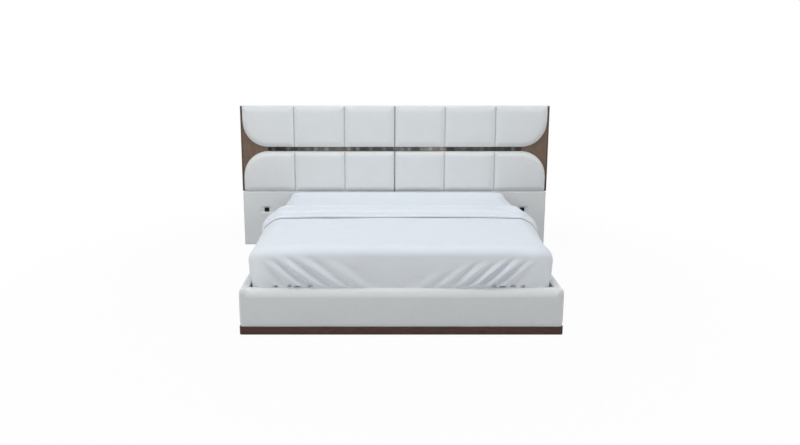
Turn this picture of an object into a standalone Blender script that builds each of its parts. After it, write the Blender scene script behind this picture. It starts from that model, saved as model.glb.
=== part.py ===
"""King size bed with a wide upholstered headboard, modelled piece by piece.

Metres, +Z up. The origin lies on the floor under the middle of the whole bed.
+Y points from the foot to the headboard, and +X to the right, seen from the foot.
"""
import math

import bmesh
import bpy
from mathutils import Vector

# Clearances
FIT_GAP = 0.0003          # between two rigid pieces that touch
SOFT_GAP = 0.0006         # between bedding that lies on other bedding
SOFT_SIDE_GAP = 0.003     # between the duvet and the mattress edge that it hangs over
CUT_OVERRUN = 0.002       # how far a cutter runs past the piece that it cuts
MIN_CORNER = 0.001        # smallest radius left on an inner corner

# Mattress and fitted sheet
MATTRESS_WIDTH = 1.93
MATTRESS_LENGTH = 2.03
MATTRESS_THICKNESS = 0.27
MATTRESS_CORNER = 0.100
MATTRESS_EDGE = 0.055
MATTRESS_BOTTOM_EDGE = 0.014
MATTRESS_SIDE_DRAW = 0.004
SHEET_THICKNESS = 0.002

# Upholstered rails
RAIL_ABOVE_DECK = 0.047   # how deep the mattress sits between the rails
RAIL_THICKNESS = 0.055
RAIL_BOARD = 0.028
RAIL_LINING = 0.003
RAIL_ROUND_WIDTH = 0.045
RAIL_ROUND_HEIGHT = 0.060
RAIL_INNER_ROUND = 0.008
RAIL_BOARD_COVER = 0.030
RAIL_FLANGE = 0.055
RAIL_BOTTOM_TUCK = 0.005
RAIL_BOTTOM_ROUND = 0.030
BED_CORNER = 0.018
SIDE_CLEARANCE = 0.030
FOOT_CLEARANCE = 0.0275
HEAD_CLEARANCE = 0.0275

# Plinth
PLINTH_HEIGHT = 0.055
PLINTH_BOARD = 0.030
PLINTH_SET_BACK = 0.002
PLINTH_ARRIS = 0.0015

# Slatted base
DECK_HEIGHT = 0.258
SLAT_THICKNESS = 0.018
SLAT_WIDTH = 0.070
SLAT_COUNT = 13
SLAT_END_PLAY = 0.004
SLAT_FIRST_GAP = 0.035
SLAT_ARRIS = 0.003
SLAT_HOUSING = 0.003
LEDGE_WIDTH = 0.030
LEDGE_HEIGHT = 0.040
BEAM_WIDTH = 0.060
BEAM_HEIGHT = 0.080
BEAM_LEG_RADIUS = 0.020
BEAM_LEG_COUNT = 2
BEAM_FOOT_RADIUS = 0.027
BEAM_FOOT_HEIGHT = 0.010
CORNER_BLOCK_LEG = 0.080
CORNER_BLOCK_HEIGHT = 0.100
TIMBER_ARRIS = 0.002

# Headboard
HEADBOARD_WIDTH = 2.962
HEADBOARD_HEIGHT = 1.365
LOWER_PANEL_TOP = 0.540
LOWER_PADDING = 0.020
FACE_BOARD = 0.015
FRAME_DEPTH = 0.040
BACK_PANEL = 0.005
END_BOARD = 0.015
TOP_CAP = 0.015
HALF_JOINT = 0.0006
FLOOR_CLEARANCE = 0.006
FRAME_RAIL_HEIGHT = 0.060
CENTRE_UPRIGHT_WIDTH = 0.045
POST_WIDTH = 0.070
POST_FROM_BED_SIDE = 0.170
END_UPRIGHT_WIDTH = 0.045
LOWER_PANEL_END_INSET = 0.005
LOWER_PANEL_CORNER = 0.018
LOWER_PANEL_ROUND = 0.014
LOWER_PANEL_HEM = 0.005

# Headboard pads, metal strip and centre trim
PAD_END_INSET = 0.017
PAD_TOP_INSET = 0.002
PAD_DEPTH = 0.038
PAD_BOTTOM_GAP = 0.0006
PAD_STRAIGHT_END = 0.149  # straight part of a pad's end, beyond its big corner
PAD_SMALL_CORNER = 0.012
PAD_BOARD = 0.009
PAD_BOARD_INSET = 0.010
PAD_ROUND = 0.046
PAD_EDGE_DEPTH = 0.009
PAD_SIDE_DRAW = 0.004
PAD_SECTIONS = 3
CHANNEL_WIDTH = 0.034
CHANNEL_DEPTH = 0.013
STRIP_HEIGHT = 0.038
STRIP_DEPTH = 0.010
STRIP_PAD_GAP = 0.0025
TRIM_WIDTH = 0.008
TRIM_DEPTH = 0.022
TRIM_PAD_GAP = 0.0012

# Power sockets in the lower panel
SOCKET_TOWARDS_BED = 0.0155  # from the middle of the panel's part beside the bed
SOCKET_HEIGHT = 0.357
SOCKET_WIDTH = 0.043
SOCKET_TALL = 0.038
SOCKET_PLATE = 0.004
SOCKET_BODY_INSET = 0.003
SOCKET_BODY_DEPTH = 0.050
SOCKET_WELL_INSET = 0.009
SOCKET_WELL_DEPTH = 0.002
DIMPLE_WIDTH = 0.110
DIMPLE_TALL = 0.085
DIMPLE_DEPTH = 0.005

# Bolts between the head rail and the headboard posts
BOLT_RADIUS = 0.004
BOLT_HEAD_RADIUS = 0.0075
BOLT_HEAD = 0.005
BOLT_LENGTH = 0.100
BOLT_HEIGHTS = (0.115, 0.195)
BOLT_TIP_PLAY = 0.004

# Duvet
DUVET_HEM_DROP = 0.026    # how far the hem hangs below the top of the rails
DUVET_HEM_THICKNESS = 0.019
DUVET_SIDE_THICKNESS = 0.036
DUVET_TOP_THICKNESS = 0.021
DUVET_SHOULDER = 0.100
DUVET_RAIL_RISE = 0.004
DUVET_PUFF = 0.007
PUFF_INSET = 0.300
DUVET_TOP_CORNER = 0.010
DUVET_SHEET_SHOWING = 0.890
TURN_BACK_WIDTH = 0.370
TURN_BACK_THICKNESS = 0.032
TURN_BACK_SLIT = 0.003
TURN_BACK_HANG = 0.120
TURN_BACK_OVERHANG = 0.012
FOLD_DEPTH = 0.011
FOLD_START = 0.090        # the folds fade in over this drop below the top
FOLD_PINCH = 0.020        # how closely the folds gather at the corner
FOLD_CORNER_FADE = 0.100  # the folds grow to their full depth over this distance from it
FOLD_LEAN_SHARE = 1.35    # sideways run of a fold for each unit that it drops
LEFT_FOLD_COUNT = 5
LEFT_FOLD_FIRST = 0.160   # from the corner to the first fold, at the rail
LEFT_FOLD_PLAIN = 0.120   # unfolded width left of the middle
RIGHT_FOLD_COUNT = 6
RIGHT_FOLD_FIRST = 0.180
RIGHT_FOLD_PLAIN = 0.1075

# Facets
ROUND_SEGMENTS = 12
CORNER_STEPS = 2
FOLD_COLUMNS = 4

# Derived places
RAIL_TOP = DECK_HEIGHT + RAIL_ABOVE_DECK
HALF_BED = MATTRESS_WIDTH / 2 + SIDE_CLEARANCE + RAIL_THICKNESS
HEADBOARD_DEPTH = LOWER_PADDING + FACE_BOARD + FRAME_DEPTH + BACK_PANEL + 3 * FIT_GAP
BED_LENGTH = RAIL_THICKNESS + FOOT_CLEARANCE + MATTRESS_LENGTH + HEAD_CLEARANCE
FOOT_FACE = -(BED_LENGTH + HEADBOARD_DEPTH) / 2
HEAD_FACE = FOOT_FACE + BED_LENGTH
RAIL_END = HEAD_FACE - FIT_GAP
RAIL_PADDING = RAIL_THICKNESS - RAIL_LINING - RAIL_BOARD - 2 * FIT_GAP
RAIL_BOTTOM = PLINTH_HEIGHT + FIT_GAP
BOARD_OUTER = RAIL_PADDING + FIT_GAP
BOARD_INNER = BOARD_OUTER + RAIL_BOARD
BOARD_TOP = RAIL_TOP - RAIL_BOARD_COVER
LEDGE_TOP = DECK_HEIGHT - SLAT_THICKNESS - FIT_GAP
BEAM_BOTTOM = LEDGE_TOP - BEAM_HEIGHT
MATTRESS_BOTTOM = DECK_HEIGHT + SOFT_GAP
MATTRESS_TOP = MATTRESS_BOTTOM + MATTRESS_THICKNESS
MATTRESS_FOOT = FOOT_FACE + RAIL_THICKNESS + FOOT_CLEARANCE
MATTRESS_HEAD = MATTRESS_FOOT + MATTRESS_LENGTH
SHEET_OUT = SOFT_GAP + SHEET_THICKNESS
SHEET_TOP = MATTRESS_TOP + SHEET_OUT

HALF_HEADBOARD = HEADBOARD_WIDTH / 2
BOARD_END = HALF_HEADBOARD - END_BOARD - FIT_GAP
FACE_FRONT = HEAD_FACE + LOWER_PADDING + FIT_GAP
FRAME_FRONT = FACE_FRONT + FACE_BOARD + FIT_GAP
FRAME_BACK = FRAME_FRONT + FRAME_DEPTH
BACK_FACE = HEAD_FACE + HEADBOARD_DEPTH
CAP_BOTTOM = HEADBOARD_HEIGHT - TOP_CAP
POST_CENTRE = HALF_BED - POST_FROM_BED_SIDE
SOCKET_FROM_CENTRE = (HALF_BED + HALF_HEADBOARD) / 2 - SOCKET_TOWARDS_BED
STRIP_CENTRE = (LOWER_PANEL_TOP + HEADBOARD_HEIGHT) / 2

PAD_INNER = TRIM_WIDTH / 2 + TRIM_PAD_GAP
PAD_LENGTH = HALF_HEADBOARD - PAD_END_INSET - PAD_INNER
UPPER_PAD_BOTTOM = STRIP_CENTRE + STRIP_HEIGHT / 2 + STRIP_PAD_GAP
LOWER_PAD_TOP = STRIP_CENTRE - STRIP_HEIGHT / 2 - STRIP_PAD_GAP
UPPER_PAD_HEIGHT = HEADBOARD_HEIGHT - PAD_TOP_INSET - UPPER_PAD_BOTTOM
LOWER_PAD_HEIGHT = LOWER_PAD_TOP - LOWER_PANEL_TOP - PAD_BOTTOM_GAP
PAD_CORNER = UPPER_PAD_HEIGHT - PAD_STRAIGHT_END
STRIP_HALF_LENGTH = PAD_INNER + PAD_LENGTH - PAD_CORNER

DUVET_HEAD = HEAD_FACE - DUVET_SHEET_SHOWING
DUVET_HEM_HEIGHT = RAIL_TOP - DUVET_HEM_DROP
DUVET_TOP = SHEET_TOP + SOFT_GAP + DUVET_TOP_THICKNESS
SHEET_HALF_WIDTH = MATTRESS_WIDTH / 2 + SHEET_OUT
SHEET_FOOT = MATTRESS_FOOT - SHEET_OUT
SHEET_CORNER = MATTRESS_CORNER + SHEET_OUT
HALF_FOOT = SHEET_HALF_WIDTH - SHEET_CORNER

SIDES = (("left", -1), ("right", 1))


def linear_channel(value):
    """One sRGB channel, 0 to 255, as a linear value."""
    share = value / 255
    if share <= 0.04045:
        return share / 12.92
    return ((share + 0.055) / 1.055) ** 2.4


def finish(name, colour, roughness, metallic=0.0):
    """A Principled material from an sRGB hex colour."""
    material = bpy.data.materials.new(name)
    material.use_nodes = True
    shader = material.node_tree.nodes["Principled BSDF"]
    channels = [linear_channel(int(colour[i:i + 2], 16)) for i in (1, 3, 5)]
    shader.inputs["Base Color"].default_value = (*channels, 1.0)
    shader.inputs["Roughness"].default_value = roughness
    shader.inputs["Metallic"].default_value = metallic
    material.diffuse_color = (*channels, 1.0)
    return material


def place(name, bm, material, parent, origin=(0, 0, 0), smooth=None):
    """Turn a bmesh into a named object at its origin, under its group's empty."""
    bmesh.ops.recalc_face_normals(bm, faces=bm.faces)
    mesh = bpy.data.meshes.new(name)
    bm.to_mesh(mesh)
    bm.free()
    mesh.materials.append(material)
    if smooth is not None:
        mesh.shade_smooth()
        mesh.set_sharp_from_angle(angle=smooth)
    piece = bpy.data.objects.new(name, mesh)
    piece.location = origin
    piece.parent = parent
    bpy.context.collection.objects.link(piece)
    return piece


def block(name, low, high, material, parent, arris=0.0):
    """A rectangular board between two corners, with its arrises taken off."""
    low = Vector(low)
    high = Vector(high)
    bm = bmesh.new()
    bmesh.ops.create_cube(bm, size=1)
    bmesh.ops.scale(bm, vec=high - low, verts=bm.verts)
    if arris:
        bmesh.ops.bevel(bm, geom=bm.edges, offset=arris, segments=1, affect="EDGES")
    return place(name, bm, material, parent, origin=(low + high) / 2)


def side_block(name, side, low, high, material, parent, arris=0.0):
    """A board of the right half, or its mirror image on the left."""
    low_x, high_x = sorted((side * low[0], side * high[0]))
    return block(name, (low_x, low[1], low[2]), (high_x, high[1], high[2]), material, parent, arris)


def add_loft(bm, sections):
    """Skin a row of closed sections with the same number of points, and cap both ends."""
    rows = [[bm.verts.new(point) for point in section] for section in sections]
    count = len(rows[0])
    for here, after in zip(rows, rows[1:]):
        for i in range(count):
            j = (i + 1) % count
            bm.faces.new((here[i], here[j], after[j], after[i]))
    bm.faces.new(rows[0])
    bm.faces.new(rows[-1])


def loft(name, sections, material, parent, smooth=None):
    bm = bmesh.new()
    add_loft(bm, sections)
    return place(name, bm, material, parent, smooth=smooth)


def cylinder_sections(centre, axis, reach):
    """Sections of a turned piece: reach lists (distance along the axis, radius)."""
    centre = Vector(centre)
    axis = Vector(axis)
    across = axis.orthogonal().normalized()
    beside = axis.cross(across)
    turns = [2 * math.pi * i / ROUND_SEGMENTS for i in range(ROUND_SEGMENTS)]
    return [
        [centre + axis * along + radius * (across * math.cos(t) + beside * math.sin(t)) for t in turns]
        for along, radius in reach
    ]


def combine(piece, other, operation):
    """Join another shape to a piece, or cut it out, and hide the other shape."""
    other.hide_render = True
    other.display_type = "WIRE"
    modifier = piece.modifiers.new(other.name, "BOOLEAN")
    modifier.operation = operation
    modifier.solver = "EXACT"
    modifier.object = other


def join(piece, other):
    combine(piece, other, "UNION")


def cut(piece, cutter_name, sections, parent):
    """Cut a lofted shape out of a piece."""
    combine(piece, loft(cutter_name, sections, piece.data.materials[0], parent), "DIFFERENCE")


def rectangle(centre_x, centre_z, width, tall, y):
    """A rectangle that faces along Y."""
    half_x = width / 2
    half_z = tall / 2
    return [
        (centre_x - half_x, y, centre_z - half_z),
        (centre_x + half_x, y, centre_z - half_z),
        (centre_x + half_x, y, centre_z + half_z),
        (centre_x - half_x, y, centre_z + half_z),
    ]


def quarter(steps):
    """Angles of a quarter turn, both ends included."""
    return [math.pi / 2 * i / steps for i in range(steps + 1)]


# Rails and plinth

def corner_point(inset, angle):
    """A plan point on the foot's left corner, at an inset from the outer face.

    Angle 0 is where the corner joins the foot, and a quarter turn is where it joins the side.
    """
    centre = max(BED_CORNER, inset + MIN_CORNER)
    radius = centre - inset
    return (
        -HALF_BED + centre - radius * math.sin(angle),
        FOOT_FACE + centre - radius * math.cos(angle),
    )


def foot_sections(profile):
    """Sections along the foot, mitred at both corners. The profile lists (inset, height)."""
    turns = [math.pi / 4 * (1 - i / CORNER_STEPS) for i in range(CORNER_STEPS + 1)]
    left = []
    right = []
    for turn in turns:
        points = [corner_point(inset, turn) for inset, _ in profile]
        left.append([(x, y, z) for (x, y), (_, z) in zip(points, profile)])
        right.append([(-x, y, z) for (x, y), (_, z) in zip(points, profile)])
    return left + right[::-1]


def side_sections(profile, side):
    """Sections along one side, from its mitre at the foot to its square end at the headboard."""
    mitre_shift = FIT_GAP * math.sqrt(2)
    turns = [math.pi / 4 * (1 + i / CORNER_STEPS) for i in range(CORNER_STEPS + 1)]
    sections = []
    for turn in turns:
        points = [corner_point(inset, turn) for inset, _ in profile]
        sections.append([(-side * x, y + mitre_shift, z) for (x, y), (_, z) in zip(points, profile)])
    sections.append([(side * (HALF_BED - inset), RAIL_END, z) for inset, z in profile])
    return sections


def rail_cover_profile():
    """The padded cover of a rail: belly, big outer round, and a lining folded over the board."""
    tuck_shares = (1.0, 0.45, 0.12)
    points = []
    for i, share in enumerate(tuck_shares):
        height = RAIL_BOTTOM + RAIL_BOTTOM_ROUND * i / len(tuck_shares)
        points.append((RAIL_BOTTOM_TUCK * share, height))
    points.append((0, RAIL_BOTTOM + RAIL_BOTTOM_ROUND))
    for angle in quarter(6):
        inset = RAIL_ROUND_WIDTH * (1 - math.cos(angle))
        height = RAIL_TOP - RAIL_ROUND_HEIGHT * (1 - math.sin(angle))
        points.append((inset, height))
    for angle in quarter(2):
        inset = RAIL_THICKNESS - RAIL_INNER_ROUND * (1 - math.sin(angle))
        height = RAIL_TOP - RAIL_INNER_ROUND * (1 - math.cos(angle))
        points.append((inset, height))
    lining_face = RAIL_THICKNESS - RAIL_LINING
    cavity_top = BOARD_TOP + FIT_GAP
    points.append((RAIL_THICKNESS, RAIL_TOP - RAIL_FLANGE))
    points.append((lining_face, RAIL_TOP - RAIL_FLANGE))
    points.append((lining_face, cavity_top))
    points.append((RAIL_PADDING, cavity_top))
    points.append((RAIL_PADDING, RAIL_BOTTOM))
    return points


def plinth_profile():
    outer = PLINTH_SET_BACK
    inner = PLINTH_SET_BACK + PLINTH_BOARD
    return [
        (outer + PLINTH_ARRIS, 0),
        (outer, PLINTH_ARRIS),
        (outer, PLINTH_HEIGHT - PLINTH_ARRIS),
        (outer + PLINTH_ARRIS, PLINTH_HEIGHT),
        (inner, PLINTH_HEIGHT),
        (inner, 0),
    ]


def build_rails(group, leather, timber, walnut):
    soft_edge = math.radians(50)
    cover = rail_cover_profile()
    plinth = plinth_profile()
    loft("foot_rail_cover", foot_sections(cover), leather, group, soft_edge)
    loft("plinth_foot", foot_sections(plinth), walnut, group, soft_edge)
    board_end = HALF_BED - BOARD_OUTER
    block(
        "foot_rail_board",
        (-board_end, FOOT_FACE + BOARD_OUTER, RAIL_BOTTOM),
        (board_end, FOOT_FACE + BOARD_INNER, BOARD_TOP),
        timber, group,
    )
    for word, side in SIDES:
        loft(f"side_rail_cover_{word}", side_sections(cover, side), leather, group, soft_edge)
        loft(f"plinth_{word}", side_sections(plinth, side), walnut, group, soft_edge)
        side_block(
            f"side_rail_board_{word}", side,
            (HALF_BED - BOARD_INNER, FOOT_FACE + BOARD_INNER + FIT_GAP, RAIL_BOTTOM),
            (HALF_BED - BOARD_OUTER, RAIL_END, BOARD_TOP),
            timber, group,
        )


# Slatted base

def build_base(group, timber, steel):
    inner_half = HALF_BED - BOARD_INNER
    board_face = FOOT_FACE + BOARD_INNER
    head_rail_front = RAIL_END - RAIL_BOARD
    rail_half = inner_half - FIT_GAP
    head_rail = block(
        "head_rail",
        (-rail_half, head_rail_front, 0),
        (rail_half, RAIL_END, LEDGE_TOP),
        timber, group,
    )
    for word, side in SIDES:
        side_block(
            f"slat_ledge_{word}", side,
            (rail_half - LEDGE_WIDTH, board_face + FIT_GAP, LEDGE_TOP - LEDGE_HEIGHT),
            (rail_half, head_rail_front - FIT_GAP, LEDGE_TOP),
            timber, group, TIMBER_ARRIS,
        )
        block_top = LEDGE_TOP - LEDGE_HEIGHT - FIT_GAP
        block_bottom = block_top - CORNER_BLOCK_HEIGHT
        ends = (
            ("foot", board_face + FIT_GAP, 1),
            ("head", head_rail_front - FIT_GAP, -1),
        )
        for end, start, along in ends:
            outline = (
                (side * rail_half, start),
                (side * (rail_half - CORNER_BLOCK_LEG), start),
                (side * rail_half, start + along * CORNER_BLOCK_LEG),
            )
            sections = [[(x, y, z) for x, y in outline] for z in (block_bottom, block_top)]
            loft(f"corner_block_{end}_{word}", sections, timber, group)
    base = block(
        "slatted_base",
        (-BEAM_WIDTH / 2, board_face + FIT_GAP, BEAM_BOTTOM),
        (BEAM_WIDTH / 2, head_rail_front - FIT_GAP, DECK_HEIGHT - SLAT_THICKNESS + SLAT_HOUSING),
        timber, group,
    )
    slats = build_slats(group, timber, board_face, head_rail_front, inner_half)
    join(base, slats)
    build_legs(group, steel, board_face, head_rail_front)
    return head_rail


def build_slats(group, timber, start, end, inner_half):
    """Slats across the bed: they lie on the two ledges and are housed on the centre beam."""
    bm = bmesh.new()
    half = inner_half - SLAT_END_PLAY
    first = start + SLAT_FIRST_GAP
    last = end - SLAT_FIRST_GAP - SLAT_WIDTH
    pitch = (last - first) / (SLAT_COUNT - 1)
    for i in range(SLAT_COUNT):
        front = first + i * pitch
        outline = (
            (front + SLAT_ARRIS, DECK_HEIGHT - SLAT_THICKNESS),
            (front + SLAT_WIDTH - SLAT_ARRIS, DECK_HEIGHT - SLAT_THICKNESS),
            (front + SLAT_WIDTH, DECK_HEIGHT - SLAT_THICKNESS + SLAT_ARRIS),
            (front + SLAT_WIDTH, DECK_HEIGHT - SLAT_ARRIS),
            (front + SLAT_WIDTH - SLAT_ARRIS, DECK_HEIGHT),
            (front + SLAT_ARRIS, DECK_HEIGHT),
            (front, DECK_HEIGHT - SLAT_ARRIS),
            (front, DECK_HEIGHT - SLAT_THICKNESS + SLAT_ARRIS),
        )
        add_loft(bm, [[(x, y, z) for y, z in outline] for x in (-half, half)])
    return place("slats", bm, timber, group)


def build_legs(group, steel, start, end):
    """Round legs under the centre beam, each on a wider foot."""
    for i in range(BEAM_LEG_COUNT):
        y = start + (end - start) * (i + 1) / (BEAM_LEG_COUNT + 1)
        reach = (
            (0, BEAM_FOOT_RADIUS),
            (BEAM_FOOT_HEIGHT, BEAM_FOOT_RADIUS),
            (BEAM_FOOT_HEIGHT, BEAM_LEG_RADIUS),
            (BEAM_BOTTOM - FIT_GAP, BEAM_LEG_RADIUS),
        )
        sections = cylinder_sections((0, y, 0), (0, 0, 1), reach)
        loft(f"centre_leg_{i + 1}", sections, steel, group, math.radians(40))


# Headboard carcass

def build_carcass(group, timber, walnut, leather, backing):
    """The timber frame, its walnut and leather faces, and what closes its top, ends and back."""
    start = HALF_JOINT / 2
    rail_top = CAP_BOTTOM - FIT_GAP
    upright_low = FRAME_RAIL_HEIGHT + FIT_GAP
    upright_high = rail_top - FRAME_RAIL_HEIGHT - FIT_GAP
    uprights = (
        ("centre_upright", start, start + CENTRE_UPRIGHT_WIDTH),
        ("post", POST_CENTRE - POST_WIDTH / 2, POST_CENTRE + POST_WIDTH / 2),
        ("end_upright", BOARD_END - END_UPRIGHT_WIDTH, BOARD_END),
    )
    bolted = []
    for word, side in SIDES:
        side_block(
            f"frame_bottom_rail_{word}", side,
            (start, FRAME_FRONT, 0),
            (BOARD_END, FRAME_BACK, FRAME_RAIL_HEIGHT),
            timber, group, TIMBER_ARRIS,
        )
        side_block(
            f"frame_top_rail_{word}", side,
            (start, FRAME_FRONT, rail_top - FRAME_RAIL_HEIGHT),
            (BOARD_END, FRAME_BACK, rail_top),
            timber, group, TIMBER_ARRIS,
        )
        for name, low, high in uprights:
            upright = side_block(
                f"frame_{name}_{word}", side,
                (low, FRAME_FRONT, upright_low), (high, FRAME_BACK, upright_high),
                timber, group, TIMBER_ARRIS,
            )
            if name == "post":
                bolted.append((side, upright))
        side_block(
            f"face_board_{word}", side,
            (start, FACE_FRONT, LOWER_PANEL_TOP + FIT_GAP),
            (BOARD_END, FACE_FRONT + FACE_BOARD, rail_top),
            walnut, group,
        )
        side_block(
            f"end_board_{word}", side,
            (HALF_HEADBOARD - END_BOARD, FACE_FRONT, LOWER_PANEL_TOP + FIT_GAP),
            (HALF_HEADBOARD, BACK_FACE, HEADBOARD_HEIGHT),
            walnut, group, TIMBER_ARRIS,
        )
        side_block(
            f"back_panel_{word}", side,
            (start, FRAME_BACK + FIT_GAP, FLOOR_CLEARANCE), (BOARD_END, BACK_FACE, rail_top),
            backing, group,
        )
    block(
        "top_cap",
        (-BOARD_END, FACE_FRONT, CAP_BOTTOM), (BOARD_END, BACK_FACE, HEADBOARD_HEIGHT),
        leather, group, TIMBER_ARRIS,
    )
    return bolted


def lower_panel_section(side, inset, height):
    """Plan of a lower panel: its padded front turns the corner and closes the headboard's end."""
    start = HALF_JOINT / 2
    front = HEAD_FACE + inset
    end = HALF_HEADBOARD - LOWER_PANEL_END_INSET - inset
    radius = LOWER_PANEL_CORNER - inset
    points = [(start, front)]
    for angle in quarter(4):
        points.append((
            end - radius * (1 - math.sin(angle)),
            front + radius * (1 - math.cos(angle)),
        ))
    points.append((end, BACK_FACE))
    points.append((HALF_HEADBOARD - END_BOARD, BACK_FACE))
    points.append((HALF_HEADBOARD - END_BOARD, HEAD_FACE + LOWER_PADDING))
    points.append((start, HEAD_FACE + LOWER_PADDING))
    return [(side * x, y, height) for x, y in points]


def build_lower_panels(group, leather, timber, plastic):
    bolted = []
    for word, side in SIDES:
        rounding = [
            (LOWER_PANEL_ROUND * (1 - math.cos(angle)), LOWER_PANEL_ROUND * math.sin(angle))
            for angle in quarter(3)
        ]
        sections = [
            lower_panel_section(side, LOWER_PANEL_HEM, FLOOR_CLEARANCE),
            lower_panel_section(side, 0, FLOOR_CLEARANCE + LOWER_PANEL_HEM),
        ]
        for inset, rise in rounding:
            sections.append(lower_panel_section(side, inset, LOWER_PANEL_TOP - LOWER_PANEL_ROUND + rise))
        cover = loft(f"lower_panel_cover_{word}", sections, leather, group, math.radians(50))
        board = side_block(
            f"lower_panel_board_{word}", side,
            (HALF_JOINT / 2, FACE_FRONT, FLOOR_CLEARANCE),
            (BOARD_END, FACE_FRONT + FACE_BOARD, LOWER_PANEL_TOP),
            timber, group,
        )
        build_socket(word, side, cover, board, group, plastic)
        bolted.append((side, cover))
        bolted.append((side, board))
    return bolted


def build_socket(word, side, cover, board, group, plastic):
    """A flush power socket: its plate sits in a dimple of the padding, its body behind the board."""
    x = side * SOCKET_FROM_CENTRE
    z = SOCKET_HEIGHT
    dimple_floor = HEAD_FACE + DIMPLE_DEPTH
    hole_width = SOCKET_WIDTH + 2 * FIT_GAP
    hole_tall = SOCKET_TALL + 2 * FIT_GAP
    slope_run = CUT_OVERRUN / DIMPLE_DEPTH
    mouth_width = DIMPLE_WIDTH + (DIMPLE_WIDTH - hole_width) * slope_run
    mouth_tall = DIMPLE_TALL + (DIMPLE_TALL - hole_tall) * slope_run
    cut(cover, f"dimple_cutter_{word}", [
        rectangle(x, z, mouth_width, mouth_tall, HEAD_FACE - CUT_OVERRUN),
        rectangle(x, z, hole_width, hole_tall, dimple_floor),
        rectangle(x, z, hole_width, hole_tall, HEAD_FACE + LOWER_PADDING + CUT_OVERRUN),
    ], group)
    body_width = SOCKET_WIDTH - 2 * SOCKET_BODY_INSET
    body_tall = SOCKET_TALL - 2 * SOCKET_BODY_INSET
    body_hole = [
        rectangle(x, z, body_width + 2 * FIT_GAP, body_tall + 2 * FIT_GAP, y)
        for y in (FACE_FRONT - CUT_OVERRUN, FACE_FRONT + FACE_BOARD + CUT_OVERRUN)
    ]
    cut(board, f"socket_cutter_{word}", body_hole, group)
    well_width = SOCKET_WIDTH - 2 * SOCKET_WELL_INSET
    well_tall = SOCKET_TALL - 2 * SOCKET_WELL_INSET
    plate_front = dimple_floor - SOCKET_PLATE / 2
    bm = bmesh.new()
    add_loft(bm, [
        rectangle(x, z, well_width, well_tall, plate_front + SOCKET_WELL_DEPTH),
        rectangle(x, z, well_width, well_tall, plate_front),
        rectangle(x, z, SOCKET_WIDTH, SOCKET_TALL, plate_front),
        rectangle(x, z, SOCKET_WIDTH, SOCKET_TALL, FACE_FRONT - FIT_GAP),
        rectangle(x, z, body_width, body_tall, FACE_FRONT - FIT_GAP),
        rectangle(x, z, body_width, body_tall, plate_front + SOCKET_BODY_DEPTH),
    ])
    place(f"power_socket_{word}", bm, plastic, group)


# Headboard pads

def pad_edge(along_height, height, length):
    """How far a pad reaches at one height, from its inner to its outer edge.

    Height 0 is the edge beside the metal strip, where the outer corner has its big radius.
    """
    def corner_loss(distance, radius):
        if distance >= radius:
            return 0
        return radius - math.sqrt(radius ** 2 - (radius - distance) ** 2)

    from_top = height - along_height
    small = max(corner_loss(along_height, PAD_SMALL_CORNER), corner_loss(from_top, PAD_SMALL_CORNER))
    big = max(corner_loss(along_height, PAD_CORNER), corner_loss(from_top, PAD_SMALL_CORNER))
    return small, length - big


def edge_distance(a, b, length, height):
    """Distance from a pad's edge, at a along its length and b from the strip."""
    if a > length - PAD_CORNER and b < PAD_CORNER:
        return PAD_CORNER - math.hypot(a - length + PAD_CORNER, PAD_CORNER - b)
    return min(a, length - a, b, height - b)


def pad_depth(a, b, length, height):
    """How far a pad stands out of its board: rounded at the edge, drawn in at the sewn channels."""
    rise = min(max(edge_distance(a, b, length, height), 0) / PAD_ROUND, 1)
    full = PAD_DEPTH - PAD_BOARD - FIT_GAP
    depth = PAD_EDGE_DEPTH + (full - PAD_EDGE_DEPTH) * math.sqrt(1 - (1 - rise) ** 2)
    for i in range(1, PAD_SECTIONS):
        beside = abs(a - length * i / PAD_SECTIONS) / (CHANNEL_WIDTH / 2)
        if beside < 1:
            sink = CHANNEL_DEPTH * (1 - beside) ** 2 * (1 + 2 * beside)
            depth = max(depth - sink, PAD_EDGE_DEPTH / 2)
    return depth


def pad_columns(inner, outer, length):
    """Places of a pad's columns, closer together at its edges and channels."""
    round_shares = (0, 0.12, 0.35, 0.65, 1)
    channel_shares = (-1, -0.45, 0, 0.45, 1)
    columns = [inner + PAD_ROUND * share for share in round_shares]
    for i in range(1, PAD_SECTIONS):
        seam = length * i / PAD_SECTIONS
        columns.append((columns[-1] + seam - CHANNEL_WIDTH / 2) / 2)
        columns.extend(seam + CHANNEL_WIDTH / 2 * share for share in channel_shares)
    last = outer - PAD_ROUND
    columns.append((columns[-1] + last) / 2)
    columns.extend(outer - PAD_ROUND * share for share in reversed(round_shares))
    return columns


def pad_rows(height):
    """Places of a pad's rows, closer together round its big corner and at its far edge."""
    far_shares = (1, 0.65, 0.35, 0.12, 0)
    rows = [PAD_CORNER * (1 - math.cos(angle)) for angle in quarter(8)]
    rows.append((rows[-1] + height - PAD_ROUND) / 2)
    rows.extend(height - PAD_ROUND * share for share in far_shares)
    return rows


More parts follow.
